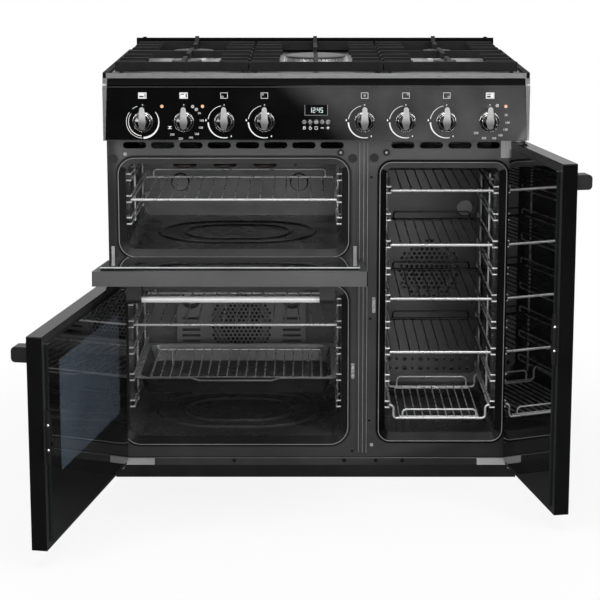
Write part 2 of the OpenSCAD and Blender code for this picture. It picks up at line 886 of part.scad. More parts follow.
module panel_end_caps() {
    color("#b9b9bb")
        difference() {
            translate([-hob_w / 2, 0, 0])
                rotate([90, 0, 90])
                    linear_extrude(hob_w)
                        polygon([
                            [-fascia_y - 1, fascia_z0], [-fascia_y - 1, fascia_z1 + 1],
                            [-fascia_y + 5, fascia_z1 + 5], [-fascia_y + 5, top_z],
                            [0, top_z], [0, fascia_z0]
                        ]);
            fascia_front();
            // the cabinet sides fit in the backs of the caps
            box(-cab_x, cab_x, cap_back_y, 1, fascia_z0 - 1, top_z + 1);
        }
}

module clock_display() {
    color("#101418") {
        yplate(-clock_w / 2 + 0.1, clock_w / 2 - 0.1, -fascia_y, -fascia_y + 9,
               clock_z0 + 0.1, clock_z0 + clock_h - 0.1, 1.4);
        difference() {
            box(-36, 36, valve_y, valve_y + 16, knob_z - 14, clock_z0 + clock_h + 6);
            box(-34, 34, valve_y + 2, valve_y + 14, knob_z - 12, clock_z0 + clock_h + 4);
        }
        for (z = [clock_z0 + 3, clock_z0 + clock_h - 7])
            box(-20, 20, -fascia_y + 9 - eps, valve_y + eps, z, z + 4);
        // stand-offs to the back of the panel
        for (x = [-35, 31])
            box(x, x + 4, -fascia_y + 2, valve_y + eps, clock_z0 + 6, clock_z0 + 14);
    }
    color("#ffb070")
        for (x = lamp_x) {
            rod_y(-fascia_y - 1.5, -fascia_y + 2, x, indicator_z, 6.9);
            rod_y(-fascia_y + 2 - eps, -fascia_y + 14, x, indicator_z, 9);
        }
}

// spindle block of a tap or switch, with the bore for the knob spindle
module spindle_block(x, w, h, d) {
    difference() {
        union() {
            yplate(x - w / 2, x + w / 2, valve_y, valve_y + d, knob_z - h / 2, knob_z + h / 2, 4);
            // mounting studs to the back of the panel
            for (s = [-1, 1])
                rod_y(-fascia_y + 2, valve_y + 1, x + s * (w / 2 - 4), knob_z, 5);
        }
        rod_y(valve_y - 1, valve_y + 17, x, knob_z, spindle_d + 2 * pin_play);
    }
}

module control_valves() {
    color("#b08d4a") {
        difference() {
            union() {
                for (i = [2:6])
                    rod_y(valve_y + 20, manifold_y, knob_x[i], knob_z, 18);
                rod_x(knob_x[2] - 20, inlet_x, manifold_y, knob_z, 20);
                translate([inlet_x, manifold_y, knob_z])
                    sphere(d = 24);
                rod_y(manifold_y, cabinet_d + 4, inlet_x, knob_z, 20);
                rod_y(cabinet_d + 4 - eps, cabinet_d + 22, inlet_x, knob_z, 20.96);
                rod_y(cabinet_d, cabinet_d + 4, inlet_x, knob_z, 30);
            }
            rod_y(manifold_y, cabinet_d + 23, inlet_x, knob_z, 15);
        }
        for (i = [2:6])
            spindle_block(knob_x[i], 34, 34, 26);
    }
    color("#3d3d40")
        for (i = [0, 1, 7])
            spindle_block(knob_x[i], 44, 44, 40);
}

// control knob: stepped round skirt and raised pointer, axis along Y
module knob(i) {
    color("#d4d4d6")
        translate([knob_x[i], knob_y, knob_z]) {
            rotate([90, 0, 0])
                rotate_extrude()
                    polygon([
                        [0, 0], [knob_d / 2, 0], [knob_d / 2, 1.6], [knob_d / 2 - 0.8, 2.4],
                        [knob_d / 2 - 2.4, 2.4], [knob_d / 2 - 2.8, 5], [knob_d / 2 - 4, 6.5],
                        [knob_d / 2 - 8, 7.6], [8.6, 8.4], [8.6, 14], [7.6, 15], [0, 15]
                    ]);
            rotate([90, 0, 0])
                translate([0, 0, 6])
                    linear_extrude(12)
                        union() {
                            circle(8);
                            translate([0, -7])
                                circle(6.6);
                            translate([0, pointer_l - 5.2])
                                circle(5.2);
                            polygon([
                                [-6.6, -7], [6.6, -7], [8, 0], [5.2, pointer_l - 5.2],
                                [-5.2, pointer_l - 5.2], [-8, 0]
                            ]);
                        }
            // spindle that turns in the tap
            rod_y(-eps, valve_y + 15 - knob_y, 0, 0, spindle_d);
        }
}

module button(i) {
    color("#d4d4d6")
        translate([(i - 2) * button_pitch, 0, knob_z]) {
            rod_y(-fascia_y - 3, valve_y - button_travel - 0.1, 0, 0, button_d);
            rod_y(-fascia_y - 3.8, -fascia_y - 3 + eps, 0, 0, button_d - 1.6);
        }
}

// ---------- hob ----------

module hob_top() {
    b = border;
    slots = floor((hob_w / 2 - 40) / 42);
    color("#c4c5c7") {
        difference() {
            zplate(-hob_w / 2, hob_w / 2, hob_y0, hob_y1, top_z, hob_z, 8);
            zplate(-hob_w / 2 + b, hob_w / 2 - b, hob_y0 + b, hob_y1 - b,
                   recess_z, hob_z + 1, 14);
            zplate(-hob_w / 2 + b + 2, hob_w / 2 - b - 2, hob_y0 + b + 2, hob_y1 - b - 2,
                   top_z - 1, recess_z - 2, 12);
            for (p = BURNERS)
                rod_z(top_z, hob_z, p[0], p[1], 2 * p[2] - 6);
        }
        // rear upstand with its vent slots
        difference() {
            zplate(-hob_w / 2 + 18, hob_w / 2 - 18, hob_y1 - b + 1, hob_y1,
                   hob_z, hob_z + upstand_h, 3);
            for (i = [-slots:slots])
                yplate(i * 42 - 15, i * 42 + 15, hob_y1 - b, hob_y1 - 2,
                       hob_z + 8, hob_z + 14, 3);
        }
        // caps on the ends of the upstand
        for (s = [-1, 1])
            rod_z(hob_z + upstand_h - eps, hob_z + upstand_h + 2.5, s * (hob_w / 2 - 38),
                  hob_y1 - b / 2, 9);
    }
}

module burner_head(p) {
    x = p[0];
    y = p[1];
    r = p[2];
    ports = round(r * 0.7);
    difference() {
        union() {
            rod_z(recess_z, recess_z + 3, x, y, 2 * r + 16);
            rod_z(recess_z + 3 - eps, recess_z + 13, x, y, 2 * r - 2);
            rod_z(top_z - 30, recess_z + eps, x, y, 2 * r - 8);
        }
        rod_z(recess_z - 3, recess_z + 14, x, y, 2 * r - 16);
        for (i = [0:ports - 1])
            translate([x, y, recess_z + 9])
                rotate([0, 0, i * 360 / ports])
                    translate([r - 10, -0.8, 0])
                        cube([12, 1.6, 5]);
    }
    // spark electrode and flame sensor beside the crown
    for (s = [-1, 1]) {
        rod_z(recess_z + 3, recess_z + 9, x + s * (r + 4), y, 5);
        rod_z(recess_z + 9 - eps, recess_z + 14, x + s * (r + 4), y, 2);
    }
}

module burner_heads() {
    color("#c8c8c6")
        for (p = BURNERS)
            burner_head(p);
}

module burner_caps() {
    color("#161617")
        for (p = BURNERS)
            translate([p[0], p[1], recess_z + 13])
                rotate_extrude()
                    polygon([
                        [0, 0], [p[2], 0], [p[2] + 1.5, 1], [p[2] + 1.5, 3],
                        [p[2] - 0.5, 4.6], [p[2] - 6, 5.4], [0, 5.8]
                    ]);
}

grate_z0 = hob_z + 1;
grate_z1 = hob_z + grate_h;
grate_y0 = hob_y0 + border + 2;
grate_y1 = hob_y1 - border - 14;

// side fingers of a pan support, as shares of its depth from the front
FINGERS = [0.07, 0.19, 0.345, 0.509, 0.68, 0.81, 0.93];

// one cast pan support from x0 to x1
module pan_support(x0, x1, wok) {
    cx = (x0 + x1) / 2;
    reach = (x1 - x0) / 2;
    // front and rear rails
    box(x0, x1, grate_y0, grate_y0 + bar_t, grate_z0, grate_z1);
    box(x0, x1, grate_y1 - bar_t, grate_y1, grate_z0, grate_z1 - 1);
    // low side rails
    for (x = [x0, x1 - 7])
        box(x, x + 7, grate_y0, grate_y1, grate_z0, grate_z1 - 8);
    // side fingers, each with a sloping inner end
    for (f = FINGERS) {
        y = grate_y0 + f * (grate_y1 - grate_y0);
        l = wok && abs(y - BURNERS[2][1]) < 10 ? 66 : 62;
        for (s = [-1, 1])
            translate([cx, y, 0])
                rotate([0, 0, s > 0 ? 0 : 180])
                    translate([0, bar_t / 2, 0])
                        rotate([90, 0, 0])
                            linear_extrude(bar_t)
                                polygon([
                                    [reach, grate_z0], [reach, grate_z1 - 4],
                                    [reach - 4, grate_z1], [reach - l, grate_z1],
                                    [reach - l, grate_z1 - 8], [reach - l + 24, grate_z0 + 4],
                                    [reach - 7, grate_z0]
                                ]);
    }
    // feet on the hob tray
    for (x = [x0 + 12, x1 - 12], y = [grate_y0 + 5, grate_y1 - 5])
        rod_z(recess_z, grate_z0 + eps, x, y, 8);
}

// depth-wise finger from a front (turn 0) or rear (turn 180) rail, l long, raised by tip
module long_finger(x, y, turn, l, tip) {
    translate([x, y, 0])
        rotate([0, 0, turn])
            translate([-bar_t / 2, 0, 0])
                rotate([90, 0, 90])
                    linear_extrude(bar_t)
                        polygon([
                            [0, grate_z0], [0, grate_z1 + tip], [10, grate_z1 + tip],
                            [22, grate_z1], [l, grate_z1], [l, grate_z1 - 8],
                            [l - 26, grate_z0 + 6], [20, grate_z0 + 4]
                        ]);
}

module pan_supports() {
    w = cast_w;
    depth = grate_y1 - grate_y0;
    mid_y = grate_y0 + FINGERS[3] * depth;
    color("#262628")
        for (i = [0:2]) {
            x0 = -grates_w / 2 + i * (w + grate_gap);
            cx = x0 + w / 2;
            wok = i == 1;
            pan_support(x0, x0 + w, wok);
            long_finger(cx, grate_y0 + bar_t / 2, 0, depth * (wok ? 0.37 : 0.24), 0);
            long_finger(cx, grate_y1 - eps, 180, depth * (wok ? 0.33 : 0.18), 12);
            // middle bar with fingers to both burners
            if (!wok) {
                box(x0 + 6, x0 + w - 6, mid_y - bar_t / 2, mid_y + bar_t / 2, grate_z0 + 4,
                    grate_z1);
                box(cx - bar_t / 2, cx + bar_t / 2, mid_y - 74, mid_y + 78, grate_z0 + 7,
                    grate_z1);
            }
        }
}

// ---------- fixed hinges, catches, connections ----------

// lug that carries a grill door pin; the pin points to the middle of the door
module grill_lug(x0, dir) {
    r = 7;
    difference() {
        union() {
            rod_x(x0, x0 + lug_t, grill_pin_y, grill_pin_z, 2 * r);
            box(x0, x0 + lug_t, grill_pin_y, 0, grill_pin_z - r, grill_pin_z + r);
            box(x0 - 2, x0 + lug_t, -2.5, 0, grill_pin_z - r, grill_pin_z + 46);
        }
        rod_x(x0 - 3, x0 + lug_t + 1, grill_pin_y, grill_pin_z, pin_d);
    }
    rod_x(dir > 0 ? x0 : x0 - 13, dir > 0 ? x0 + 18 : x0 + lug_t, grill_pin_y, grill_pin_z, pin_d);
}

// bracket with a standing pin for a side-hinged door
module side_hinge(side, z0, pin_z0, pin_z1, wing) {
    xi = side * pin_x;
    z1 = z0 + 3;
    difference() {
        union() {
            rod_z(z0, z1, xi, pin_y, 20);
            box(xi - 10, xi + 10, pin_y, 0, z0, z1);
        }
        rod_z(z0 - 1, z1 + 1, xi, pin_y, pin_d);
    }
    rod_z(pin_z0, pin_z1, xi, pin_y, pin_d);
    if (wing > 0)
        box(side > 0 ? xi - wing : xi - 16, side > 0 ? xi + 16 : xi + wing, -hinge_plate_t, 0,
            z0, z0 + 15);
}

// catch with two jaws for the stud of a closed door
module catch_unit(x, z) {
    box(x - 7, x + 7, facing_t, facing_t + 18, z - 22, z + 22);
    for (s = [-1, 1])
        box(x - 3, x + 3, -4, facing_t + eps, z + s * 9 - 3, z + s * 9 + 3);
}

module screw_head(x, z) {
    difference() {
        union() {
            rod_y(-1.2, 0, x, z, 8);
            rod_y(-2, -1.2 + eps, x, z, 6);
        }
        box(x - 2.4, x + 2.4, -3, -1, z - 0.5, z + 0.5);
        box(x - 0.5, x + 0.5, -3, -1, z - 2.4, z + 2.4);
    }
}

module frame_fittings() {
    color("#c2c2c4") {
        side_hinge(-1, base_z + 1, base_z + 1, door_z + 13, 75);
        side_hinge(1, base_z + 1, base_z + 1, door_z + 13, 75);
        side_hinge(-1, main_door_top - 13, main_door_top - 13, main_door_top - 3, 0);
        side_hinge(1, door_top + 1.5, door_top - 12, door_top + 4.5, 0);
        // plate of the top hinge of the tall door
        box(tall_mouth_x1 - 14, cab_x - 2, -hinge_plate_t, 0, tall_mouth_z1 + 9,
            door_top + 1.5 + eps);
        grill_lug(lug_x[0], 1);
        grill_lug(lug_x[1], -1);
        for (p = SCREWS)
            screw_head(p[0], p[1]);
    }
    color("#3c3c3e") {
        catch_unit(catch_main[0], catch_main[1]);
        catch_unit(catch_tall[0], catch_tall[1]);
        // rubber bumpers, two of them with a sunken screw
        for (p = BUMPERS)
            rod_y(-4, 0, p[0], p[1], 18);
        for (p = SCREWED_BUMPERS) {
            difference() {
                rod_y(-4, 0, p[0], p[1], 14);
                rod_y(-5, -1.5, p[0], p[1], 8);
            }
            rod_y(-3, -1.5 + eps, p[0], p[1], 5.5);
        }
    }
}

module terminal_box() {
    gx = inlet_x - 35;
    z0 = base_z + 92;
    color("#2e2e30")
        difference() {
            union() {
                box(gx - 45, gx + 45, cabinet_d, cabinet_d + 22, z0, z0 + 70);
                rod_z(z0 - 12, z0 + 1, gx, cabinet_d + 11, 20);
            }
            rod_z(z0 - 13, z0 + 30, gx, cabinet_d + 11, 12);
            box(gx - 42, gx + 42, cabinet_d + 3, cabinet_d + 19, z0 + 3, z0 + 67);
        }
}

// ---------- doors ----------

// pressed outer panel of a door, closed position
module door_skin(x0, x1, z0, z1, win) {
    cx = (x0 + x1) / 2;
    difference() {
        yplate(x0, x1, skin_y0, skin_y1, z0, z1, 3);
        box(x0 + skin_t, x1 - skin_t, skin_y0 + skin_t, skin_y1 + 1, z0 + skin_t, z1 - skin_t);
        if (len(win) > 0)
            yplate(cx - win[0] / 2, cx + win[0] / 2, skin_y0 - 1, skin_y0 + skin_t + 1,
                   win[1], win[2], 10);
    }
}

// inner pane with the plate that closes the hollow panel
module door_pane(x0, x1, z0, z1, win) {
    cx = (x0 + x1) / 2;
    i = pane_inset;
    difference() {
        union() {
            yplate(x0 + i, x1 - i, skin_y1, pane_y1, z0 + i, z1 - i, 3);
            box(x0 + skin_t, x1 - skin_t, skin_y1 - 1.5, skin_y1, z0 + skin_t, z1 - skin_t);
        }
        if (len(win) > 0)
            yplate(cx - win[0] / 2, cx + win[0] / 2, skin_y1 - 2, pane_y1 - 4,
                   win[1], win[2], 10);
    }
    if (len(win) > 0)
        yplate(cx - win[0] / 2 - 15, cx + win[0] / 2 + 15, skin_y0 + skin_t,
               skin_y0 + skin_t + 4, win[1] - 15, win[2] + 15, 12);
}

// handle: two posts with a tube between them, on the closed door
module door_handle(x0, x1, z, inset) {
    r = 8;
    color("#3b3b3d")
        for (x = [x0 + inset, x1 - inset])
            difference() {
                translate([x - post_w / 2, 0, z])
                    rotate([90, 0, 90])
                        linear_extrude(post_w)
                            union() {
                                translate([skin_y0 - post_out + r, -post_h / 2])
                                    square([post_out - r, post_h]);
                                translate([skin_y0 - post_out, -post_h / 2 + r])
                                    square([r, post_h - 2 * r]);
                                for (s = [-1, 1])
                                    translate([skin_y0 - post_out + r, s * (post_h / 2 - r)])
                                        circle(r);
                            }
                rod_x(x0 + inset, x1 - inset, skin_y0 - tube_out, z, tube_d);
            }
    color("#c9c9cb")
        rod_x(x0 + inset, x1 - inset, skin_y0 - tube_out, z, tube_d);
}

main_window = [window_w, main_door_top - window_drop - window_h, main_door_top - window_drop];
grill_window = [window_w, grill_z0 + grill_window_in, door_top - grill_window_in];

module main_door_notch() {
    // room for the top hinge bracket
    box(-door_x - 1, -pin_x + 12, skin_y0 + skin_t, pane_y1 + 1, main_door_top - 14.5,
        main_door_top - 8.5);
}

module pin_hole(side, z0, z1) {
    rod_z(z0, z1, side * pin_x, pin_y, pin_d + 3);
}

module main_door_panel() {
    color("#101011")
        swung(-1, main_open)
            difference() {
                door_skin(-door_x, left_x1, door_z, main_door_top, main_window);
                pin_hole(-1, door_z - 1, door_z + 3);
                main_door_notch();
            }
}

module main_door_glass() {
    color("#23282d")
        swung(-1, main_open)
            difference() {
                door_pane(-door_x, left_x1, door_z, main_door_top, main_window);
                main_door_notch();
            }
}

module main_door_handle() {
    swung(-1, main_open)
        door_handle(-door_x, left_x1, main_door_top - handle_drop, side_post_in);
}

// steel block with the bore for a standing hinge pin
module pin_block(side, z0, z1, bore_z0, bore_z1) {
    xi = side * pin_x;
    difference() {
        box(side < 0 ? -door_x + skin_t : xi - 14, side < 0 ? xi + 14 : door_x - skin_t,
            skin_y0 + skin_t, skin_y1 - 1.5, z0, z1);
        rod_z(bore_z0, bore_z1, xi, pin_y, bore_d);
    }
}

// thin strike plate on the free edge of a side-hinged door
module strike(x, dir, z) {
    box(dir > 0 ? x : x - 1, dir > 0 ? x + 1 : x, skin_y1 - 24, skin_y1 - 4, z - 28, z + 28);
}

module main_door_fittings() {
    color("#bdbdbf")
        swung(-1, main_open) {
            pin_block(-1, door_z + skin_t, door_z + 20, door_z - 1, door_z + 14);
            pin_block(-1, main_door_top - 8.5, main_door_top - skin_t, main_door_top - 9,
                      main_door_top - 2.9);
            rod_y(pane_y1, pane_y1 + 3, catch_main[0], catch_main[1], 8);
            strike(left_x1, 1, catch_main[1]);
        }
}

module tall_door_panel() {
    color("#101011")
        swung(1, tall_open)
            difference() {
                door_skin(right_x0, door_x, door_z, door_top, []);
                pin_hole(1, door_z - 1, door_z + 3);
                pin_hole(1, door_top - 3, door_top + 1);
            }
}

module tall_door_glass() {
    color("#23282d")
        swung(1, tall_open)
            door_pane(right_x0, door_x, door_z, door_top, []);
}

module tall_door_handle() {
    swung(1, tall_open)
        door_handle(right_x0, door_x, door_top - handle_drop, side_post_in);
}

module tall_door_fittings() {
    color("#bdbdbf")
        swung(1, tall_open) {
            pin_block(1, door_z + skin_t, door_z + 20, door_z - 1, door_z + 14);
            pin_block(1, door_top - 20, door_top - skin_t, door_top - 13, door_top + 1);
            rod_y(pane_y1, pane_y1 + 3, catch_tall[0], catch_tall[1], 8);
            strike(right_x0, -1, catch_tall[1]);
        }
}

module grill_door_notch() {
    // room for the two hinge lugs
    for (x = lug_x)
        box(x - 1.5, x + lug_t + 1.5, skin_y0 + skin_t, pane_y1 + 1, grill_z0 - 1, grill_pin_z + 9);
}

module grill_door_panel() {
    color("#101011")
        dropped()
            difference() {
                door_skin(-door_x, left_x1, grill_z0, door_top, grill_window);
                grill_door_notch();
            }
}

module grill_door_glass() {
    color("#23282d")
        dropped()
            difference() {
                door_pane(-door_x, left_x1, grill_z0, door_top, grill_window);
                grill_door_notch();
            }
}

module grill_door_handle() {
    dropped()
        door_handle(-door_x, left_x1, door_top - handle_drop, grill_post_in);
}

module grill_door_fittings() {
    color("#bdbdbf")
        dropped()
            for (xa = [lug_x[0] + lug_t + 1.5, lug_x[1] - 1.5 - 14])
                difference() {
                    box(xa, xa + 14, skin_y0 + skin_t, skin_y1 - 1.5, grill_z0 + skin_t,
                        grill_pin_z + 12);
                    rod_x(xa - 1, xa + 15, grill_pin_y, grill_pin_z, bore_d);
                }
}

// ---------- shelves and trays ----------

// upright hoop of wire d, w wide and h high, with round upper corners, in the plane Y = 0
module hoop(w, h, r, d) {
    rod_x(-w / 2 + r, w / 2 - r, 0, h, d);
    for (s = [-1, 1]) {
        rod_z(0, h - r, s * w / 2, 0, d);
        translate([s * (w / 2 - r), 0, h - r])
            rotate([90, 0, 0])
                rotate([0, 0, s > 0 ? 0 : 90])
                    rotate_extrude(angle = 90)
                        translate([r, 0])
                            circle(d = d);
    }
}

// wire shelf between the racks of oven m, its frame wires at height z
module shelf(m, z, deck) {
    x0 = m[0] + mouth_in + rail_off;
    x1 = m[1] - mouth_in - rail_off;
    y0 = shelf_y0 + frame_wire / 2;
    y1 = y0 + shelf_d;
    d = frame_wire;
    color("#cfcfd2") {
        // frame
        rod_x(x0, x1, y0, z, d);
        rod_x(x0, x1, y1, z, d);
        for (x = [x0, x1]) {
            rod_y(y0, y1, x, z, d);
            for (y = [y0, y1])
                translate([x, y, z])
                    sphere(d = d);
        }
        // deck wires, from the front wire to the rear wire
        for (i = [1:deck])
            rod_y(y0, y1, x0 + i * (x1 - x0) / (deck + 1), z, deck_wire);
        // raised back stop
        translate([(x0 + x1) / 2, y1, z])
            hoop(x1 - x0 - 2 * stop_in, stop_h, 7, 4);
    }
}

module grill_shelf() {
    shelf(GRILL, grill_shelf_z, 15);
}

module main_shelf() {
    shelf(MAIN, main_shelf_z, 15);
}

module tall_shelf(i) {
    shelf(TALL, tall_shelf_z + (4 - i) * 2 * tall_pitch, 9);
}

tray_x0 = left_mouth_x0 + mouth_in + rail_off - frame_wire / 2;
tray_x1 = left_mouth_x1 - mouth_in - rail_off + frame_wire / 2;
tray_y1 = shelf_y0 + shelf_d;

// inside of the tray pan, grown by g
module tray_space(g, depth) {
    translate([(tray_x0 + tray_x1) / 2, (shelf_y0 + tray_y1) / 2, tray_z - frame_wire / 2 + 2])
        rotate([-90, 0, 0])
            funnel(tray_x1 - tray_x0 - 24 + 2 * g, shelf_d - 24 + 2 * g, 30 + g, 12, depth);
}

module roasting_tray() {
    // a rim that runs on the rungs over a pan with sloping walls
    z = tray_z - frame_wire / 2;
    cx = (tray_x0 + tray_x1) / 2;
    dip = 6;
    color("#1c1c1e")
        difference() {
            union() {
                difference() {
                    zplate(tray_x0, tray_x1, shelf_y0, tray_y1, z, z + 2, 12);
                    box(cx - 97, cx + 97, shelf_y0 - 1, shelf_y0 + 9, z - 1, z + 3);
                }
                tray_space(1.6, tray_h);
                // the front rim dips in the middle for the hand
                translate([cx, shelf_y0 + 13, 0])
                    rotate([90, 0, 0])
                        linear_extrude(13)
                            polygon([
                                [-98, z + 2], [-80, z + 2 - dip], [80, z + 2 - dip], [98, z + 2],
                                [98, z], [82, z - dip], [-82, z - dip], [-98, z]
                            ]);
            }
            translate([0, 0, eps])
                tray_space(0, tray_h - 1.6);
        }
}

module tray_grid() {
    // grid that stands in the tray on four feet
    z = tray_z - 8;
    x0 = tray_x0 + 34;
    x1 = tray_x1 - 34;
    y0 = shelf_y0 + 34;
    y1 = tray_y1 - 34;
    zb = tray_z - frame_wire / 2 + 3.6 + eps - tray_h;
    color("#cfcfd2") {
        for (y = [y0, y1])
            rod_x(x0, x1, y, z, 5);
        for (x = [x0, x1]) {
            rod_y(y0, y1, x, z, 5);
            for (y = [y0, y1])
                translate([x, y, z])
                    sphere(d = 5);
        }
        for (i = [1:17])
            rod_y(y0, y1, x0 + i * (x1 - x0) / 18, z, deck_wire);
        for (x = [x0 + 30, x1 - 30], y = [y0, y1])
            rod_z(zb, z, x, y, 4);
    }
}

// quarter bend of wire d in the plane Y = 0, centre line radius r, starting at angle a0
module bend(x, y, z, r, a0, d) {
    translate([x, y, z])
        rotate([90, 0, 0])
            rotate([0, 0, a0])
                rotate_extrude(angle = 90)
                    translate([r, 0])
                        circle(d = d);
}

// cross wire of the dropped rack: down from the rails, across and up again
module dropped_wire(x0, x1, y, z, drop, d) {
    r = 8;
    for (s = [-1, 1]) {
        xe = s < 0 ? x0 : x1;
        bend(xe - s * 0.01, y, z - r, r, s < 0 ? 0 : 90, d);
        rod_z(z - drop + r, z - r, xe - s * r, y, d);
        bend(xe - s * 2 * r, y, z - drop + r, r, s < 0 ? 180 : 270, d);
    }
    rod_x(x0 + 2 * r, x1 - 2 * r, y, z - drop, d);
}

module low_rack() {
    // dropped rack with a lifting loop at the front
    z = low_level;
    x0 = TALL[0] + mouth_in + rail_off;
    x1 = TALL[1] - mouth_in - rail_off;
    y0 = shelf_y0 + frame_wire / 2;
    y1 = y0 + shelf_d - 60;
    drop = 30;
    in = 22;
    color("#cfcfd2") {
        for (x = [x0, x1]) {
            rod_y(y0, y1, x, z, frame_wire);
            for (y = [y0, y1])
                translate([x, y, z])
                    sphere(d = frame_wire);
        }
        for (y = [y0, y1])
            dropped_wire(x0, x1, y, z, drop, 5);
        for (y = [y0 + 12, y1 - 12])
            rod_x(x0 + in, x1 - in, y, z - drop, 4);
        for (i = [0:10])
            rod_y(y0, y1, x0 + in + i * (x1 - x0 - 2 * in) / 10, z - drop, deck_wire);
        // lifting loop at the front and low stop at the back
        translate([(x0 + x1) / 2, y0, z - drop])
            hoop(x1 - x0 - 2 * in - 12, 20, 9, 4);
        translate([(x0 + x1) / 2, y1, z - drop])
            hoop(x1 - x0 - 2 * in - 12, 24, 9, 4);
    }
}

// ---------- drawing ----------

base_frame();
side_panels();
rear_cover();
plinth();
levelling_feet();
front_frame();
grill_cavity();
main_cavity();
tall_cavity();
ladder_racks();
fan_covers();
heating_elements();
oven_lamps();
fan_motors();
control_panel();
panel_end_caps();
clock_display();
control_valves();
hob_top();
burner_heads();
burner_caps();
pan_supports();
frame_fittings();
terminal_box();
main_door_panel();
main_door_glass();
main_door_handle();
main_door_fittings();
tall_door_panel();
tall_door_glass();
tall_door_handle();
tall_door_fittings();
grill_door_panel();
grill_door_glass();
grill_door_handle();
grill_door_fittings();
knob(0);  // knob_1
knob(1);  // knob_2
knob(2);  // knob_3
knob(3);  // knob_4
knob(4);  // knob_5
knob(5);  // knob_6
knob(6);  // knob_7
knob(7);  // knob_8
button(0);  // button_1
button(1);  // button_2
button(2);  // button_3
button(3);  // button_4
button(4);  // button_5
grill_shelf();
main_shelf();
roasting_tray();
tray_grid();
tall_shelf(1);  // tall_shelf_1
tall_shelf(2);  // tall_shelf_2
tall_shelf(3);  // tall_shelf_3
tall_shelf(4);  // tall_shelf_4
low_rack();
main_fan();
tall_fan();
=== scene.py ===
"""Looks of the range cooker: materials, painted faces, printed marks, trims, lights and camera.

Places are in millimetres in the CAD frame: x to the right, y to the back, z up, with the front of
the facing at y 0 and the floor at z 0. Blender works in metres, and MM turns one into the other.
The doors stand open at rest. What belongs to a door is given in the closed door's place, and
OPEN[door] turns it to where the open door has it.
"""
import bpy
import math
from collections import namedtuple
from mathutils import Matrix, Vector


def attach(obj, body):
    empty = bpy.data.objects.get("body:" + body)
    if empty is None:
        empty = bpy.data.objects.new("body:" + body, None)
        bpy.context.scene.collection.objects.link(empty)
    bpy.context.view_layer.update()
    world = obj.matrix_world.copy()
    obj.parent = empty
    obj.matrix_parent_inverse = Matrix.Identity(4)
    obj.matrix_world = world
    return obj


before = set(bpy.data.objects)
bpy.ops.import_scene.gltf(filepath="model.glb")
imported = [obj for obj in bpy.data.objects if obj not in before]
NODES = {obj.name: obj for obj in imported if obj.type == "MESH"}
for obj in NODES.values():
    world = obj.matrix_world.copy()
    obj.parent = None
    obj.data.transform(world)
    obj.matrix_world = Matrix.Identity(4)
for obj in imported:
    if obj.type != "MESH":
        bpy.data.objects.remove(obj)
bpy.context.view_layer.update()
MM = 0.001
Point = namedtuple("Point", "x y z")

# ---------------------------------------------------------------- places, in millimetres
PANEL_Y = -45.0
PANEL_TOP_Z = 876
PRINT_T = 0.15
KNOB_X = (-366, -279, -194, -109, 102, 189, 275, 366)
KNOB_Z = 797.0
GRILL_KNOB, MAIN_KNOB, TALL_KNOB = 0, 1, 7
# oven mouths: left, right, low and high edge, corner radius
OVENS = {"left_top": (-425, 71, 497, 714, 36), "left_low": (-425, 71, 76, 437, 40),
         "right": (137, 410, 84, 705, 26)}
MOUTH_DEPTH = 18.5
LAMPS = ((-322, 593), (-38, 593), (-298, 314), (-56, 314), (358, 532))
LAMP_R = 19.05
# burners: x, y and cap radius
BURNERS = ((-282, 140, 32), (-282, 390, 46), (0, 262, 66), (282, 140, 24), (282, 390, 32))
# rubber bumpers on the facing: x, z and radius; the last two have a screw in the middle
BUMPERS = ((78.5, 713, 9.2), (125, 714, 9.2), (-434.6, 711.5, 9.2), (53, 725.5, 7.2),
           (151, 725.5, 7.2))
# x of the two posts of each handle
HANDLES = {"main_door": (-416, 69), "tall_door": (138, 416), "grill_door": (-368, 21)}
POST_HALF = 15.2
# hinge pins, and the turn from shut to open in degrees
PINS = {"main_door": (-431, -24, 0), "tall_door": (431, -24, 0), "grill_door": (0, -33, 475)}
SWINGS = {"main_door": (-100.4, "Z"), "tall_door": (100.7, "Z"), "grill_door": (83.0, "X")}


def turned_open(door):
    pin = Matrix.Translation([v * MM for v in PINS[door]])
    degrees, axis = SWINGS[door]
    return pin @ Matrix.Rotation(math.radians(degrees), 4, axis) @ pin.inverted()


OPEN = {door: turned_open(door) for door in PINS}


# ---------------------------------------------------------------- shader nodes
def colour(value):
    """A plain number is a grey; a colour of three numbers gets its alpha."""
    if isinstance(value, (int, float)):
        return (value, value, value, 1.0)
    return (*value, 1.0)


def material(name):
    made = bpy.data.materials.new(name)
    made.use_nodes = True
    return made, made.node_tree, made.node_tree.nodes["Principled BSDF"]


def set_inputs(node, **values):
    """Sets inputs by name, with _ for the blanks in it."""
    for key, value in values.items():
        node.inputs[key.replace("_", " ")].default_value = value


def object_space(tree):
    return tree.nodes.new("ShaderNodeTexCoord").outputs["Object"]


def noise(tree, scale, detail=3.0, stretch=None):
    """Noise in object space, in metres, with an optional stretch."""
    made = tree.nodes.new("ShaderNodeTexNoise")
    set_inputs(made, Scale=scale, Detail=detail, Roughness=0.5)
    place = object_space(tree)
    if stretch:
        mapping = tree.nodes.new("ShaderNodeMapping")
        set_inputs(mapping, Scale=stretch)
        tree.links.new(place, mapping.inputs["Vector"])
        place = mapping.outputs["Vector"]
    tree.links.new(place, made.inputs["Vector"])
    return made.outputs["Fac"]


def ramp(tree, source, first, second):
    """Colours by source; first and second are each a place on the ramp and its colour."""
    made = tree.nodes.new("ShaderNodeValToRGB")
    for element, (at, value) in zip(made.color_ramp.elements, (first, second)):
        element.position = at
        element.color = colour(value)
    tree.links.new(source, made.inputs["Fac"])
    return made.outputs["Color"]


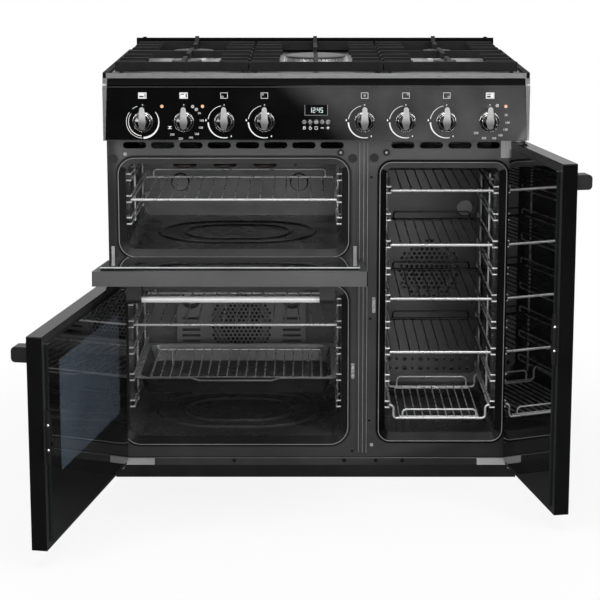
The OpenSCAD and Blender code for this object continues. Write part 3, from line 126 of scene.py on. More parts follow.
def map_range(tree, source, low, high, start, end, smooth=True):
    """start to end while source runs from low to high, and held beyond both."""
    made = tree.nodes.new("ShaderNodeMapRange")
    if smooth:
        made.interpolation_type = "SMOOTHSTEP"
    set_inputs(made, From_Min=low, From_Max=high, To_Min=start, To_Max=end)
    tree.links.new(source, made.inputs["Value"])
    return made.outputs["Result"]


def math_node(tree, operation, *terms):
    """Each term is a number or an output of another node."""
    made = tree.nodes.new("ShaderNodeMath")
    made.operation = operation
    for socket, term in zip(made.inputs, terms):
        if isinstance(term, (int, float)):
            socket.default_value = term
        else:
            tree.links.new(term, socket)
    return made.outputs["Value"]


def mix_colour(tree, factor, first, second, blend="MIX"):
    """The factor and both colours are each a number or an output of another node."""
    made = tree.nodes.new("ShaderNodeMix")
    made.data_type = "RGBA"
    made.blend_type = blend
    for name, term in (("Factor", factor), ("A", first), ("B", second)):
        if not isinstance(term, (int, float)):
            tree.links.new(term, made.inputs[name])
        elif name == "Factor":
            made.inputs[name].default_value = term
        else:
            made.inputs[name].default_value = colour(term)
    return made.outputs["Result"]


def mix_shader(tree, factor, first, second):
    made = tree.nodes.new("ShaderNodeMixShader")
    for socket, term in zip(made.inputs, (factor, first, second)):
        tree.links.new(term, socket)
    return made.outputs["Shader"]


# ---------------------------------------------------------------- kinds of material
def drift(tree, shader, source, low, high, start=0.3, end=0.7):
    """The base colour wanders between low and high."""
    made = ramp(tree, source, (start, low), (end, high))
    tree.links.new(made, shader.inputs["Base Color"])


def vary_rough(tree, shader, scale, low, high, stretch=None):
    rough = map_range(tree, noise(tree, scale, 4.0, stretch), 0.3, 0.7, low, high, smooth=False)
    tree.links.new(rough, shader.inputs["Roughness"])


def bump(tree, shader, source, strength, distance):
    made = tree.nodes.new("ShaderNodeBump")
    set_inputs(made, Strength=strength, Distance=distance)
    tree.links.new(source, made.inputs["Height"])
    tree.links.new(made.outputs["Normal"], shader.inputs["Normal"])


def specks(tree, shader, bright):
    """Fine bright specks, as in vitreous enamel."""
    cells = tree.nodes.new("ShaderNodeTexVoronoi")
    set_inputs(cells, Scale=420.0)
    tree.links.new(object_space(tree), cells.inputs["Vector"])
    dots = ramp(tree, cells.outputs["Distance"], (0.0, bright), (0.16, 0.0))
    base = shader.inputs["Base Color"]
    tree.links.new(mix_colour(tree, 1.0, base.links[0].from_socket, dots, "ADD"), base)


def painted(name, low, high, rough, scale=9.0, coat=0.0, peel=0.0, specular=0.5, speck=0.0):
    """Enamel or paint: slight colour drift, wandering gloss, orange peel and fine specks."""
    made, tree, shader = material(name)
    drift(tree, shader, noise(tree, scale), low, high)
    if speck:
        specks(tree, shader, speck)
    set_inputs(shader, Specular_IOR_Level=specular, Coat_Weight=coat, Coat_Roughness=0.04)
    vary_rough(tree, shader, 14.0, rough * 0.8, rough * 1.25)
    if peel:
        bump(tree, shader, noise(tree, 650.0, 2.0), peel, 0.0004)
    return made


def metal(name, low, high, rough, scale=30.0, stretch=None, grain=0.0, aniso=0.0, metallic=1.0):
    """Sheet, wire or cast metal; stretch draws its grain out, and grain raises it."""
    made, tree, shader = material(name)
    pattern = noise(tree, scale, 5.0, stretch)
    drift(tree, shader, pattern, low, high)
    set_inputs(shader, Metallic=metallic, Anisotropic=aniso)
    vary_rough(tree, shader, scale, rough * 0.75, rough * 1.3, stretch)
    if grain:
        bump(tree, shader, pattern, grain, 0.0003)
    return made


def glowing(name, light, strength, base):
    made, tree, shader = material(name)
    drift(tree, shader, noise(tree, 300.0), [part * 0.9 for part in base], base, 0.2, 0.8)
    set_inputs(shader, Emission_Color=colour(light), Emission_Strength=strength, Roughness=0.25)
    return made


def mirror_glass(name, low, high, rough=0.025, coat=1.0):
    """Dark glass that is seen by what it reflects."""
    made, tree, shader = material(name)
    drift(tree, shader, noise(tree, 5.0), low, high, 0.35, 0.65)
    set_inputs(shader, Specular_IOR_Level=0.6, Coat_Weight=coat, Coat_Roughness=0.01)
    vary_rough(tree, shader, 3.0, rough * 0.7, rough * 1.4)
    return made


def clear_glass(name):
    made, tree, shader = material(name)
    drift(tree, shader, noise(tree, 60.0), 0.8, 0.9)
    set_inputs(shader, Roughness=0.08, IOR=1.45, Transmission_Weight=0.65)
    return made


def along(tree, direction):
    """How far a point in object space is along a direction, in metres."""
    dot = tree.nodes.new("ShaderNodeVectorMath")
    dot.operation = "DOT_PRODUCT"
    dot.inputs[1].default_value = direction
    tree.links.new(object_space(tree), dot.inputs[0])
    return dot.outputs["Value"]


def graded(made, name, direction, low, high, start, end):
    """An input of a material runs from start to end between two places along a direction."""
    tree = made.node_tree
    value = map_range(tree, along(tree, direction), low, high, start, end)
    tree.links.new(value, tree.nodes["Principled BSDF"].inputs[name])


def brightened(made, direction, low, high, factor):
    """The base colour grows by a factor between two places along a direction."""
    tree = made.node_tree
    base = tree.nodes["Principled BSDF"].inputs["Base Color"]
    times = tree.nodes.new("ShaderNodeVectorMath")
    times.operation = "SCALE"
    tree.links.new(base.links[0].from_socket, times.inputs[0])
    grown = map_range(tree, along(tree, direction), low, high, 1.0, factor)
    tree.links.new(grown, times.inputs["Scale"])
    tree.links.new(times.outputs["Vector"], base)


# ---------------------------------------------------------------- the cooker's materials
ACROSS, BACKWARDS, UP = (1, 0, 0), (0, 1, 0), (0, 0, 1)

# black gloss, and the panel, whose upper right half has a painted reflection of a bright room
GLOSS = painted("gloss_black_paint", 0.002, 0.0035, 0.07, coat=0.12, peel=0.02, specular=0.3)
PANEL = painted("panel_black_enamel", 0.002, 0.004, 0.12, coat=0.1, peel=0.02)
PANEL_SLANT = (1, 0, 1.067)
graded(PANEL, "Specular IOR Level", PANEL_SLANT, 0.833, 0.873, 0.06, 0.42)
brightened(PANEL, PANEL_SLANT, 0.833, 0.953, 19.0)
RIM = painted("hob_rim_enamel", 0.002, 0.004, 0.5, specular=0.04)
# painted shade for faces in shadow, and also the black print on the oven icons
SHADOW_AND_PRINT_BLACK = painted("shadow_and_print_black", 0.002, 0.004, 0.6, specular=0.1)

# oven enamel, with painted light on the back walls
ENAMEL = painted("oven_enamel", 0.013, 0.021, 0.26, coat=0.1, peel=0.05, specular=0.3, speck=0.02)
brightened(ENAMEL, BACKWARDS, 0.41, 0.44, 16.0)
# a lit copy of the oven enamel for the low oven and its tray: paler all over, with painted light
# towards the back
LIT_LOW_ENAMEL = painted("low_oven_enamel_lit", 0.06, 0.085, 0.26, coat=0.1, peel=0.05, specular=0.4,
                     speck=0.03)
brightened(LIT_LOW_ENAMEL, BACKWARDS, 0.3, 0.44, 2.5)
# painted light on the roasting tray's back wall
TRAY = painted("tray_back_wall_lit", 0.24, 0.34, 0.2, coat=0.3, peel=0.04)
# painted shade darkens the tall oven's mouth, and painted light brightens the top of each mouth
MOUTH = painted("mouth_enamel", 0.012, 0.018, 0.34, peel=0.04, specular=0.25, speck=0.015)
SHADOWED_MOUTH = painted("tall_mouth_enamel_shadowed", 0.003, 0.005, 0.34, peel=0.04, specular=0.15, speck=0.01)
LIT_MOUTH_TOP = painted("mouth_top_enamel_lit", 0.06, 0.085, 0.34, peel=0.04, specular=0.4)
# the fan cover of the tall oven, at the right, lies in shade
COVER = painted("fan_cover_enamel", 0.2, 0.25, 0.34, coat=0.1, peel=0.04)
brightened(COVER, ACROSS, 0.16, 0.36, 0.2)

# painted light and shade: the facing is brighter at its top, darker at its left side and low at its
# right
FACING = painted("facing_enamel", 0.036, 0.047, 0.4, peel=0.04, specular=0.4, speck=0.01)
brightened(FACING, UP, 0.64, 0.745, 2.2)
brightened(FACING, (-1, 0, 0), 0.42, 0.44, 0.35)
brightened(FACING, (1, 0, -4), -0.1, 0.05, 0.5)

# painted highlights on edges that catch the light
LIT_EDGE_BAND = painted("door_edge_lit_band", 0.055, 0.068, 0.4)
LIP_HIGHLIGHT = painted("enamel_edge_highlight", 0.2, 0.26, 0.3)
TRIM_HIGHLIGHT = painted("panel_edge_highlight", 0.045, 0.06, 0.3)
EDGE_HIGHLIGHT = painted("edge_highlight_grey", 0.5, 0.6, 0.3)
TRAY_RIM_HIGHLIGHT = painted("tray_rim_highlight", 0.55, 0.65, 0.25)
RIDGE_LINE = painted("ridge_highlight", 0.09, 0.13, 0.3)

# other paint, plastic, rubber, ceramic and print
LENS_RIM = painted("lens_surround", (0.03, 0.012, 0.006), (0.05, 0.02, 0.01), 0.3)
SIDES = painted("cabinet_paint", 0.007, 0.01, 0.3, peel=0.05)
DOOR_STEEL = painted("door_inner_steel", 0.022, 0.032, 0.38, scale=20.0)
PLASTIC = painted("black_plastic", 0.008, 0.012, 0.42, peel=0.12)
RUBBER = painted("seal_rubber", 0.012, 0.02, 0.65, peel=0.2)
POST = painted("handle_post", 0.009, 0.014, 0.33, coat=0.1, peel=0.06)
IRON = painted("cast_iron_enamel", 0.004, 0.008, 0.55, scale=60.0, peel=0.3, specular=0.22)
CAP = painted("burner_cap_enamel", 0.008, 0.014, 0.28, coat=0.2, peel=0.1)
PLATE = painted("hinge_plate_zinc", 0.34, 0.42, 0.35)
CERAMIC = painted("white_ceramic", 0.72, 0.8, 0.25)
MARK = painted("white_print", 0.72, 0.82, 0.45, scale=400.0)
GREY_MARK = painted("grey_print", 0.16, 0.24, 0.45, scale=400.0)

# metal; the grip of a knob is lit at its upper end
CHROME = metal("chrome", 0.72, 0.82, 0.09)
KNOB_DARK = metal("knob_shadow_metal", 0.02, 0.04, 0.2)
GRIP = metal("knob_grip_metal", 0.24, 0.27, 0.42)
brightened(GRIP, UP, 0.79, 0.812, 3.3)
WIRE = metal("chrome_wire", 0.82, 0.9, 0.3, metallic=0.6)
DARK_WIRE = metal("shaded_wire", 0.05, 0.08, 0.3)
TUBE = metal("handle_tube_steel", 0.85, 0.92, 0.4, 40.0, (1, 12, 12), metallic=0.45)
BRUSHED = metal("brushed_steel", 0.4, 0.46, 0.34, 60.0, (1, 40, 40), 0.02, 0.3)
HOB_STEEL = metal("hob_steel", 0.55, 0.66, 0.34, 80.0, (1, 30, 1), 0.04)
ZINC = metal("zinc_sheet", (0.42, 0.43, 0.44), (0.56, 0.57, 0.58), 0.42, 35.0)
CAST_ALU = metal("cast_aluminium", 0.5, 0.64, 0.42, 150.0, grain=0.3)
BRASS = metal("brass", (0.55, 0.4, 0.18), (0.68, 0.52, 0.26), 0.3, 60.0)
ELEMENT = metal("oxidised_element", (0.09, 0.08, 0.075), (0.16, 0.14, 0.13), 0.42, 80.0)
# painted shade: the fan wheels behind the covers are kept dark
FAN = metal("fan_wheel_shadowed", 0.03, 0.05, 0.4)
SCREW = metal("bright_screw", 0.6, 0.7, 0.25, 120.0)

# glass and lights
PANE = mirror_glass("door_pane", 0.003, 0.005)
PANE_EDGE = mirror_glass("pane_edge", (0.006, 0.008, 0.008), (0.01, 0.012, 0.012), 0.1)
WINDOW = mirror_glass("window_tint", (0.05, 0.066, 0.085), (0.075, 0.095, 0.118))
CLOCK = mirror_glass("clock_glass", 0.0015, 0.0025, 0.04, 0.6)
LAMP = clear_glass("lamp_glass")
DIGITS = glowing("clock_digits", (0.75, 0.9, 0.88), 0.7, (0.3, 0.35, 0.35))
LENS = glowing("indicator_lens", (1.0, 0.6, 0.4), 0.38, (0.5, 0.3, 0.2))


# ---------------------------------------------------------------- painting the CAD nodes
def paint(node, default, *rules, door=None):
    """Each rule is a test and its material, and the first test that holds for a face paints it.
    A test gets the face's centre, a Point in mm, and its normal, on a door as if it were shut."""
    part = NODES[node]
    part.data.materials.clear()
    part.data.materials.append(default)
    for _, choice in rules:
        part.data.materials.append(choice)
    shut = OPEN[door].inverted() if door else Matrix.Identity(4)
    turn = shut.to_3x3()
    for face in part.data.polygons:
        centre = shut @ (part.matrix_world @ face.center)
        at = Point(centre.x / MM, centre.y / MM, centre.z / MM)
        normal = turn @ face.normal
        hits = (i + 1 for i, (test, _) in enumerate(rules) if test(at, normal))
        face.material_index = next(hits, 0)


def apart(at, x, z):
    """How far a point is from a place on the front."""
    return math.hypot(at.x - x, at.z - z)


def paint_frame():
    """The base's front is enamelled like the facing."""
    enamel_z = 28
    paint("base_frame", SHADOW_AND_PRINT_BLACK, (lambda at, n: n.y < -0.8 and at.z > enamel_z, FACING))
    paint("front_frame", FACING)
    paint("side_panels", SIDES)
    paint("rear_cover", ZINC)
    paint("fan_motors", ZINC)
    for node in ("plinth", "levelling_feet", "terminal_box"):
        paint(node, PLASTIC)


def in_mouth(at, n):
    return at.y < MOUTH_DEPTH and n.y < 0.5


def in_mouth_top(at, n):
    return in_mouth(at, n) and n.z < -0.3


def lamp_ring(at, n):
    return min(apart(at, x, z) for x, z in LAMPS) > LAMP_R


def paint_ovens():
    # painted light on the top of each mouth, and painted shade on the tall oven's mouth
    for cavity, wall, mouth in (("grill_cavity", ENAMEL, MOUTH), ("main_cavity", LIT_LOW_ENAMEL, MOUTH),
                                ("tall_cavity", ENAMEL, SHADOWED_MOUTH)):
        paint(cavity, wall, (in_mouth_top, LIT_MOUTH_TOP), (in_mouth, mouth))
    paint("fan_covers", COVER)
    # the fan wheels are dark with painted shade behind the covers
    paint("main_fan", FAN)
    paint("tall_fan", FAN)
    paint("heating_elements", ELEMENT)
    paint("oven_lamps", LAMP, (lamp_ring, KNOB_DARK))


def paint_shelves():
    """The tall oven's shelves lie in shade between their front and back wires."""
    shade_y0, shade_y1 = 60, 400
    tray_rim_z, tray_front_y, tray_back_y = 210, 60, 300
    for node in ("ladder_racks", "grill_shelf", "main_shelf", "tray_grid", "low_rack"):
        paint(node, WIRE)
    for i in range(1, 5):
        paint(f"tall_shelf_{i}", WIRE, (lambda at, n: shade_y0 < at.y < shade_y1, DARK_WIRE))
    # the tray has a painted highlight on its rim, the darker oven enamel on its front wall as
    # painted shade, and painted light on its back wall
    paint("roasting_tray", LIT_LOW_ENAMEL,
          (lambda at, n: n.z > 0.7 and at.z > tray_rim_z, TRAY_RIM_HIGHLIGHT),
          (lambda at, n: n.y < -0.3 and at.y < tray_front_y, ENAMEL),
          (lambda at, n: n.y < -0.3 and at.y > tray_back_y, TRAY))


def on_lens(at, n):
    """The lenses stand on both sides of the clock window."""
    clock_half = 100
    return abs(at.x) > clock_half


def paint_knob(node, knob_x):
    """Chrome with a satin grip; what lies in its shade or turns from the light is dark."""
    skirt_y, grip_y = -53.2, -60
    groove_r0, groove_r1 = 16.9, 18.8
    dish_r0, dish_r1 = 9, 15

    def grip_end(at, n):
        return n.y < -0.9 and at.y < grip_y

    def grip_flank(at, n):
        return at.y < skirt_y and abs(n.y) < 0.3 and (n.x > 0.2 or n.z < -0.4)

    def skirt_groove(at, n):
        return groove_r0 < apart(at, knob_x, KNOB_Z) < groove_r1 and n.y < -0.8

    def dish(at, n):
        in_shade = at.x > knob_x or n.z < 0
        return dish_r0 < apart(at, knob_x, KNOB_Z) < dish_r1 and n.y < -0.5 and in_shade

    paint(node, CHROME, (grip_end, GRIP), (grip_flank, KNOB_DARK), (skirt_groove, KNOB_DARK),
          (dish, KNOB_DARK))


def paint_panel():
    """Of the valves, the gas taps are brass and the three oven switches at the ends plastic."""
    cap_back_y, clock_glass_y = -30, -34
    taps_x0, taps_x1 = -240, 343
    # painted shade on the panel's top under the hob lip, and on the end caps' sides and backs
    paint("control_panel", PANEL, (lambda at, n: at.z > PANEL_TOP_Z, SHADOW_AND_PRINT_BLACK))
    paint("panel_end_caps", BRUSHED, (lambda at, n: abs(n.x) > 0.8 or at.y > cap_back_y, SHADOW_AND_PRINT_BLACK))
    paint("clock_display", PLASTIC,
          (lambda at, n: on_lens(at, n) and n.y < -0.5, LENS),
          (on_lens, LENS_RIM),
          (lambda at, n: at.y < clock_glass_y, CLOCK))
    paint("control_valves", BRASS, (lambda at, n: not taps_x0 <= at.x <= taps_x1, PLASTIC))
    for i, x in enumerate(KNOB_X):
        paint_knob(f"knob_{i + 1}", x)
    for i in range(1, 6):
        paint(f"button_{i}", SCREW)


def electrode(at, n):
    """The spark electrodes stand left and right of each burner cap."""
    gap, electrode_r, ceramic_z = 4, 2.6, 897.2
    for x, y, radius in BURNERS:
        off = abs(at.x - x) - radius - gap
        if math.hypot(off, at.y - y) < electrode_r:
            return at.z > ceramic_z
    return False


def paint_hob():
    """A dark rim round the steel plate, and a brushed strip along the front."""
    strip_y, strip_z, plate_z, half_width = -40, 887, 899.5, 440

    def front_strip(at, n):
        return n.y < -0.7 and at.y < strip_y and at.z > strip_z and abs(at.x) < half_width

    def plate(at, n):
        return at.z < plate_z and n.z > 0.9 and abs(at.x) < half_width

    # faces turned down under the hob get painted shade
    paint("hob_top", RIM, (front_strip, BRUSHED), (plate, HOB_STEEL),
          (lambda at, n: n.z < -0.3, SHADOW_AND_PRINT_BLACK))
    paint("burner_heads", CAST_ALU, (electrode, CERAMIC))
    paint("burner_caps", CAP)
    paint("pan_supports", IRON)


def bumper(at, n):
    screw_r, screw_y = 2.9, -3.2
    screw = at.y > screw_y and min(apart(at, x, z) for x, z, _ in BUMPERS[3:]) < screw_r
    return not screw and any(apart(at, x, z) < radius for x, z, radius in BUMPERS)


def low_screw(at, n):
    """The screws along the base, between the two hinge plates."""
    base_z, between_x = 50, 340
    return at.z < base_z and abs(at.x) < between_x


def never(at, n):
    return False


def lit_edge(at, n):
    """The grill door's folded top edge, which faces the front while the door is down."""
    fold_z = 745
    return n.z > 0.9 and at.z > fold_z


def paint_door(door, edge_band, strike):
    """edge_band and strike are the tests for the lit top edge and for the strike plates."""
    left, right = HANDLES[door]
    pane_back_y, pane_front_y, window_y = -5.4, -12.6, -30
    paint(door + "_panel", GLOSS, (edge_band, LIT_EDGE_BAND), door=door)
    paint(door + "_glass", DOOR_STEEL,
          (lambda at, n: at.y > pane_back_y and n.y > 0.5, PANE),
          (lambda at, n: at.y > pane_front_y and abs(n.y) < 0.9, PANE_EDGE),
          (lambda at, n: at.y < window_y, WINDOW), door=door)
    paint(door + "_handle", POST,
          (lambda at, n: left + POST_HALF < at.x < right - POST_HALF, TUBE), door=door)
    paint(door + "_fittings", PLATE, (strike, GLOSS), door=door)


MAIN_STRIKE_X, TALL_STRIKE_X = 40, 180
paint_frame()
paint_ovens()
paint_shelves()
paint_panel()
paint_hob()
paint("frame_fittings", PLATE, (bumper, RUBBER), (low_screw, DARK_WIRE))
paint_door("main_door", never, lambda at, n: at.x > MAIN_STRIKE_X)
paint_door("tall_door", never, lambda at, n: at.x < TALL_STRIKE_X)
paint_door("grill_door", lit_edge, never)

# pressed and cast parts get soft edges of this width; the others are only shaded smooth
SOFT_EDGES = {"control_panel": 0.8, "hob_top": 1.2, "pan_supports": 1.0, "main_door_panel": 0.8,
              "tall_door_panel": 0.8, "grill_door_panel": 0.8, "panel_end_caps": 0.5,
              "front_frame": 0.5, "plinth": 0.8}


def soften(part, width):
    edges = part.modifiers.new("edges", "BEVEL")
    edges.width = width * MM
    edges.segments = 2
    edges.limit_method = "ANGLE"
    edges.angle_limit = math.radians(38)
    edges.harden_normals = False


def keep_sharp_edges(part):
    split = part.modifiers.new("smooth", "EDGE_SPLIT")
    split.split_angle = math.radians(35)


for node in NODES:
    for face in NODES[node].data.polygons:
        face.use_smooth = node not in SOFT_EDGES
    if node in SOFT_EDGES:
        soften(NODES[node], SOFT_EDGES[node])
    else:
        keep_sharp_edges(NODES[node])


# ---------------------------------------------------------------- building pieces
def add_piece(name, data, mat, body, location=(0, 0, 0), rotation=(0, 0, 0)):
    data.materials.append(mat)
    piece = bpy.data.objects.new(name, data)
    piece.location = location
    piece.rotation_euler = rotation
    bpy.context.scene.collection.objects.link(piece)
    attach(piece, body)
    return piece


def mesh_piece(name, verts, faces, mat, body, place=None, smooth=False, edge=0.0):
    """place turns the piece to where it stands, and edge is the width of its soft edges."""
    mesh = bpy.data.meshes.new(name)
    mesh.from_pydata([(x * MM, y * MM, z * MM) for x, y, z in verts], [], faces)
    mesh.validate()
    if place is not None:
        mesh.transform(place)
    for face in mesh.polygons:
        face.use_smooth = smooth
    piece = add_piece(name, mesh, mat, body)
    if edge:
        edges = piece.modifiers.new("edges", "BEVEL")
        edges.width = edge * MM
        edges.segments = 2
        edges.limit_method = "ANGLE"


def prisms(outlines, lift):
    """Flat shapes made solid: each outline is a list of (x, z), and lift is the two y."""
    verts, faces = [], []
    for line in outlines:
        count = len(line)
        base = len(verts)
        for y in lift:
            verts += [(x, y, z) for x, z in line]
        faces.append([base + i for i in range(count)][::-1])
        faces.append([base + count + i for i in range(count)])
        for i in range(count):
            j = (i + 1) % count
            faces.append([base + i, base + j, base + count + j, base + count + i])
    return verts, faces


def printed(name, outlines, mat, y=PANEL_Y, thickness=PRINT_T):
    verts, faces = prisms(outlines, (y, y - thickness))
    mesh_piece(name, verts, faces, mat, "cooker")


def slab(name, x0, x1, y0, y1, z0, z1, mat, body, place=None):
    verts, faces = prisms([rect(x0, x1, z0, z1)], (y0, y1))
    mesh_piece(name, verts, faces, mat, body, place, edge=0.1)


def lathe(name, profile, centre, axis, mat, body, place=None, steps=48):
    """profile is (radius, height) pairs, turned about the x or y axis through centre."""
    verts, faces = [], []
    count = len(profile)
    for i in range(steps):
        angle = 2 * math.pi * i / steps
        for radius, height in profile:
            u, w = radius * math.cos(angle), radius * math.sin(angle)
            point = (height, u, w) if axis == "x" else (u, height, w)
            verts.append(tuple(c + p for c, p in zip(centre, point)))
    for i in range(steps):
        j = (i + 1) % steps
        for m in range(count - 1):
            faces.append([i * count + m, j * count + m, j * count + m + 1, i * count + m + 1])
    mesh_piece(name, verts, faces, mat, body, place, smooth=True)


def tube(name, points, radius, mat, body, closed=False, place=None):
    """A round line through points."""
    curve = bpy.data.curves.new(name, "CURVE")
    curve.dimensions = "3D"
    curve.bevel_depth = radius * MM
    curve.bevel_resolution = 4
    curve.use_fill_caps = not closed
    line = curve.splines.new("POLY")
    line.points.add(len(points) - 1)
    for knot, point in zip(line.points, points):
        where = Vector([v * MM for v in point])
        if place is not None:
            where = place @ where
        knot.co = (*where, 1)
    line.use_cyclic_u = closed
    line.use_smooth = True
    add_piece(name, curve, mat, body)


def label(name, text, x, z, size):
    """White print on the panel."""
    font = bpy.data.curves.new(name, "FONT")
    font.body = text
    font.size = size * MM
    font.align_x = "CENTER"
    font.align_y = "CENTER"
    font.extrude = PRINT_T * 0.5 * MM
    font.resolution_u = 3
    add_piece(name, font, MARK, "cooker", (x * MM, (PANEL_Y - PRINT_T * 0.5) * MM, z * MM),
              (math.radians(90), 0, 0))


# ---------------------------------------------------------------- outlines, as (x, z)
def rect(x0, x1, z0, z1):
    return [(x0, z0), (x1, z0), (x1, z1), (x0, z1)]


def disc(cx, cz, radius, steps):
    angles = [2 * math.pi * i / steps for i in range(steps)]
    return [(cx + radius * math.sin(a), cz + radius * math.cos(a)) for a in angles]


def flame(cx, cz, s):
    return [(cx, cz + 1.5 * s), (cx + 0.55 * s, cz + 0.5 * s), (cx + 0.8 * s, cz - 0.4 * s),
            (cx + 0.4 * s, cz - s), (cx - 0.4 * s, cz - s), (cx - 0.8 * s, cz - 0.4 * s),
            (cx - 0.5 * s, cz + 0.5 * s)]


def rounded(x0, x1, z0, z1, radius):
    """A rectangle with round corners."""
    steps = 8
    corners = ((x1 - radius, z1 - radius, 0), (x0 + radius, z1 - radius, 90),
               (x0 + radius, z0 + radius, 180), (x1 - radius, z0 + radius, 270))
    outline = []
    for cx, cz, start in corners:
        for i in range(steps + 1):
            angle = math.radians(start + 90 * i / steps)
            outline.append((cx + radius * math.cos(angle), cz + radius * math.sin(angle)))
    return outline


def sector(cx, cz, radius, start, end, line0, line1, steps=24):
    """A ring sector as flat cells: degrees clockwise from the top, line width line0 to line1."""
    cells = []
    for i in range(steps):
        t0, t1 = i / steps, (i + 1) / steps
        cell = []
        for t, side in ((t0, 1), (t1, 1), (t1, -1), (t0, -1)):
            angle = math.radians(start + (end - start) * t)
            r = radius + side * (line0 + (line1 - line0) * t) / 2
            cell.append((cx + r * math.sin(angle), cz + r * math.cos(angle)))
        cells.append(cell)
    return cells


def ring(cx, cz, radius, line):
    return sector(cx, cz, radius, 0, 360, line, line, 12)


def box_line(cx, cz, w, h, t):
    """The outline of a rectangle as four bars of width t."""
    x0, x1, z0, z1 = cx - w / 2, cx + w / 2, cz - h / 2, cz + h / 2
    return [rect(x0, x1, z0, z0 + t), rect(x0, x1, z1 - t, z1),
            rect(x0, x0 + t, z0 + t, z1 - t), rect(x1 - t, x1, z0 + t, z1 - t)]


# ---------------------------------------------------------------- painted highlights and shadows, knob rings
def edge_strip(name, low, high):
    """A painted highlight along an edge of the panel. low and high are its z and half length at its
    two edges.
    """
    verts = []
    for (z, half), chamfer in ((low, 0.4), (high, -0.4)):
        verts += [(-half, PANEL_Y, z), (half, PANEL_Y, z),
                  (half, PANEL_Y - 0.8, z + chamfer), (-half, PANEL_Y - 0.8, z + chamfer)]
    faces = [[3, 2, 1, 0], [4, 5, 6, 7], [0, 1, 5, 4], [1, 2, 6, 5], [2, 3, 7, 6], [3, 0, 4, 7]]
    mesh_piece(name, verts, faces, TRIM_HIGHLIGHT, "cooker")


# painted highlights along the panel's low and top edges
edge_strip("panel_low_highlight", (757.2, 445.2), (758.6, 445.1))
edge_strip("panel_top_highlight", (870.0, 441.4), (871.4, 441.3))

KNOB_RING = [(21.4, 0), (21.4, -0.9), (20.9, -1.2), (20.4, -0.9), (20.4, 0)]
# a dark disc round each knob's foot: painted shadow on the panel
KNOB_SHADOW_DISC = [(20.3, 0), (20.3, -0.35), (9, -0.35), (9, 0)]
for i, x in enumerate(KNOB_X):
    lathe(f"knob_ring_{i + 1}", KNOB_RING, (x, PANEL_Y, KNOB_Z), "y", CHROME, "cooker")
    lathe(f"knob_shadow_disc_{i + 1}", KNOB_SHADOW_DISC, (x, PANEL_Y, KNOB_Z), "y", SHADOW_AND_PRINT_BLACK, "cooker")

# ---------------------------------------------------------------- print on the panel
ICON_Z = 852.7
DOT_Z = 833.0
SYMBOL_Z = 784.2
# arcs round a knob: radius, start and end angle, line width at the start and at the end
BURNER_ARCS = ((34.5, -12, -80, 0.9, 1.3), (34.0, -92, -192, 3.2, 1.6))
GRILL_ARCS = ((34.0, 52, 178, 1.2, 4.6), (34.6, 182, 306, 1.0, 1.0), (30.0, 186, 306, 1.8, 0.8),
              (34.8, 322, 342, 1.0, 1.0, 8))
# the burner that a knob belongs to, from the middle of its hob icon
BURNER_SPOTS = {2: (-3.57, -2.55), 3: (-3.57, 2.55), 4: (0, 0), 5: (3.57, 2.55), 6: (3.57, -2.55)}
# dark shapes on the oven icons, from the icon's middle
ICON_SHAPES = {GRILL_KNOB: [(-6.2, 2.6, -3.4, -0.6), (4.8, 6.4, -3.6, 3.6)],
               MAIN_KNOB: [(-5.4, 0.6, 1.8, 3.4), (4.2, 6.4, -3.8, 3.8)],
               TALL_KNOB: [(-6.2, 1.6, 2.0, 3.4), (-6.2, 1.2, -3.8, -0.6)]}
# fan symbols: knob, place from the knob's centre, radius, line width
FAN_SYMBOLS = ((MAIN_KNOB, 18.8, 32.5, 2.7, 1.0), (MAIN_KNOB, 26.3, 26.3, 2.7, 1.0),
               (TALL_KNOB, 15.5, 34.5, 2.8, 1.1))
# temperature numbers by their angle; the tall oven's scale is turned a little farther
TEMPS = ((60, "50"), (86, "100"), (110, "130"), (135, "160"), (158, "190"), (191, "220"),
         (222, "250"))
TEMP_TURNS = {MAIN_KNOB: 0, TALL_KNOB: 7}
TEMP_SIZE = 6.4
SCALE_HALF_W, SCALE_HALF_H = 37.5, 36.5


def arcs(x, rows):
    return [cell for row in rows for cell in sector(x, KNOB_Z, *row)]


def burner_marks(x, spot):
    """Hob icon with the burner's place, two arcs, a large and a small flame."""
    made = box_line(x, ICON_Z, 15, 12.5, 0.8) + ring(x + spot[0], ICON_Z + spot[1], 1.7, 0.6)
    made += arcs(x, BURNER_ARCS)
    made += [flame(x - 38.5, KNOB_Z + 3.5, 2.0), flame(x + 14.5, KNOB_Z - 30.5, 1.7)]
    return made


def oven_icon(x):
    """A filled icon with a heavy frame."""
    filled = rect(x - 6.9, x + 6.9, ICON_Z - 4.65, ICON_Z + 4.65)
    return box_line(x, ICON_Z, 17.5, 13, 1.5) + [filled]


def element_symbol(x):
    """Two bars with a stem between them, left of the main oven's knob."""
    return [rect(x - 34, x - 26, KNOB_Z - 10.4, KNOB_Z - 9.2),
            rect(x - 34, x - 26, KNOB_Z - 15, KNOB_Z - 13.8),
            rect(x - 31.5, x - 28.5, KNOB_Z - 13.8, KNOB_Z - 10.4)]


def button_symbols(z):
    """Pot, stopwatch, arc with a bar, minus and plus, one for each button from the left."""
    made = box_line(-25, z - 0.6, 5.4, 4.6, 1.2) + sector(-25, z + 1.2, 2.2, -90, 90, 1.0, 1.0, 8)
    made += ring(-12.5, z - 0.8, 2.6, 1.1) + [rect(-13.4, -11.6, z + 2.0, z + 4.0)]
    made += sector(0, z - 0.6, 3.0, 70, 290, 1.1, 1.1, 12) + [rect(-3.6, 3.6, z + 1.6, z + 2.8)]
    made += [rect(9.4, 15.6, z - 0.7, z + 0.7)]
    made += [rect(22, 28, z - 0.8, z + 0.8), rect(24.2, 25.8, z + 0.8, z + 3),
             rect(24.2, 25.8, z - 3, z - 0.8)]
    return made


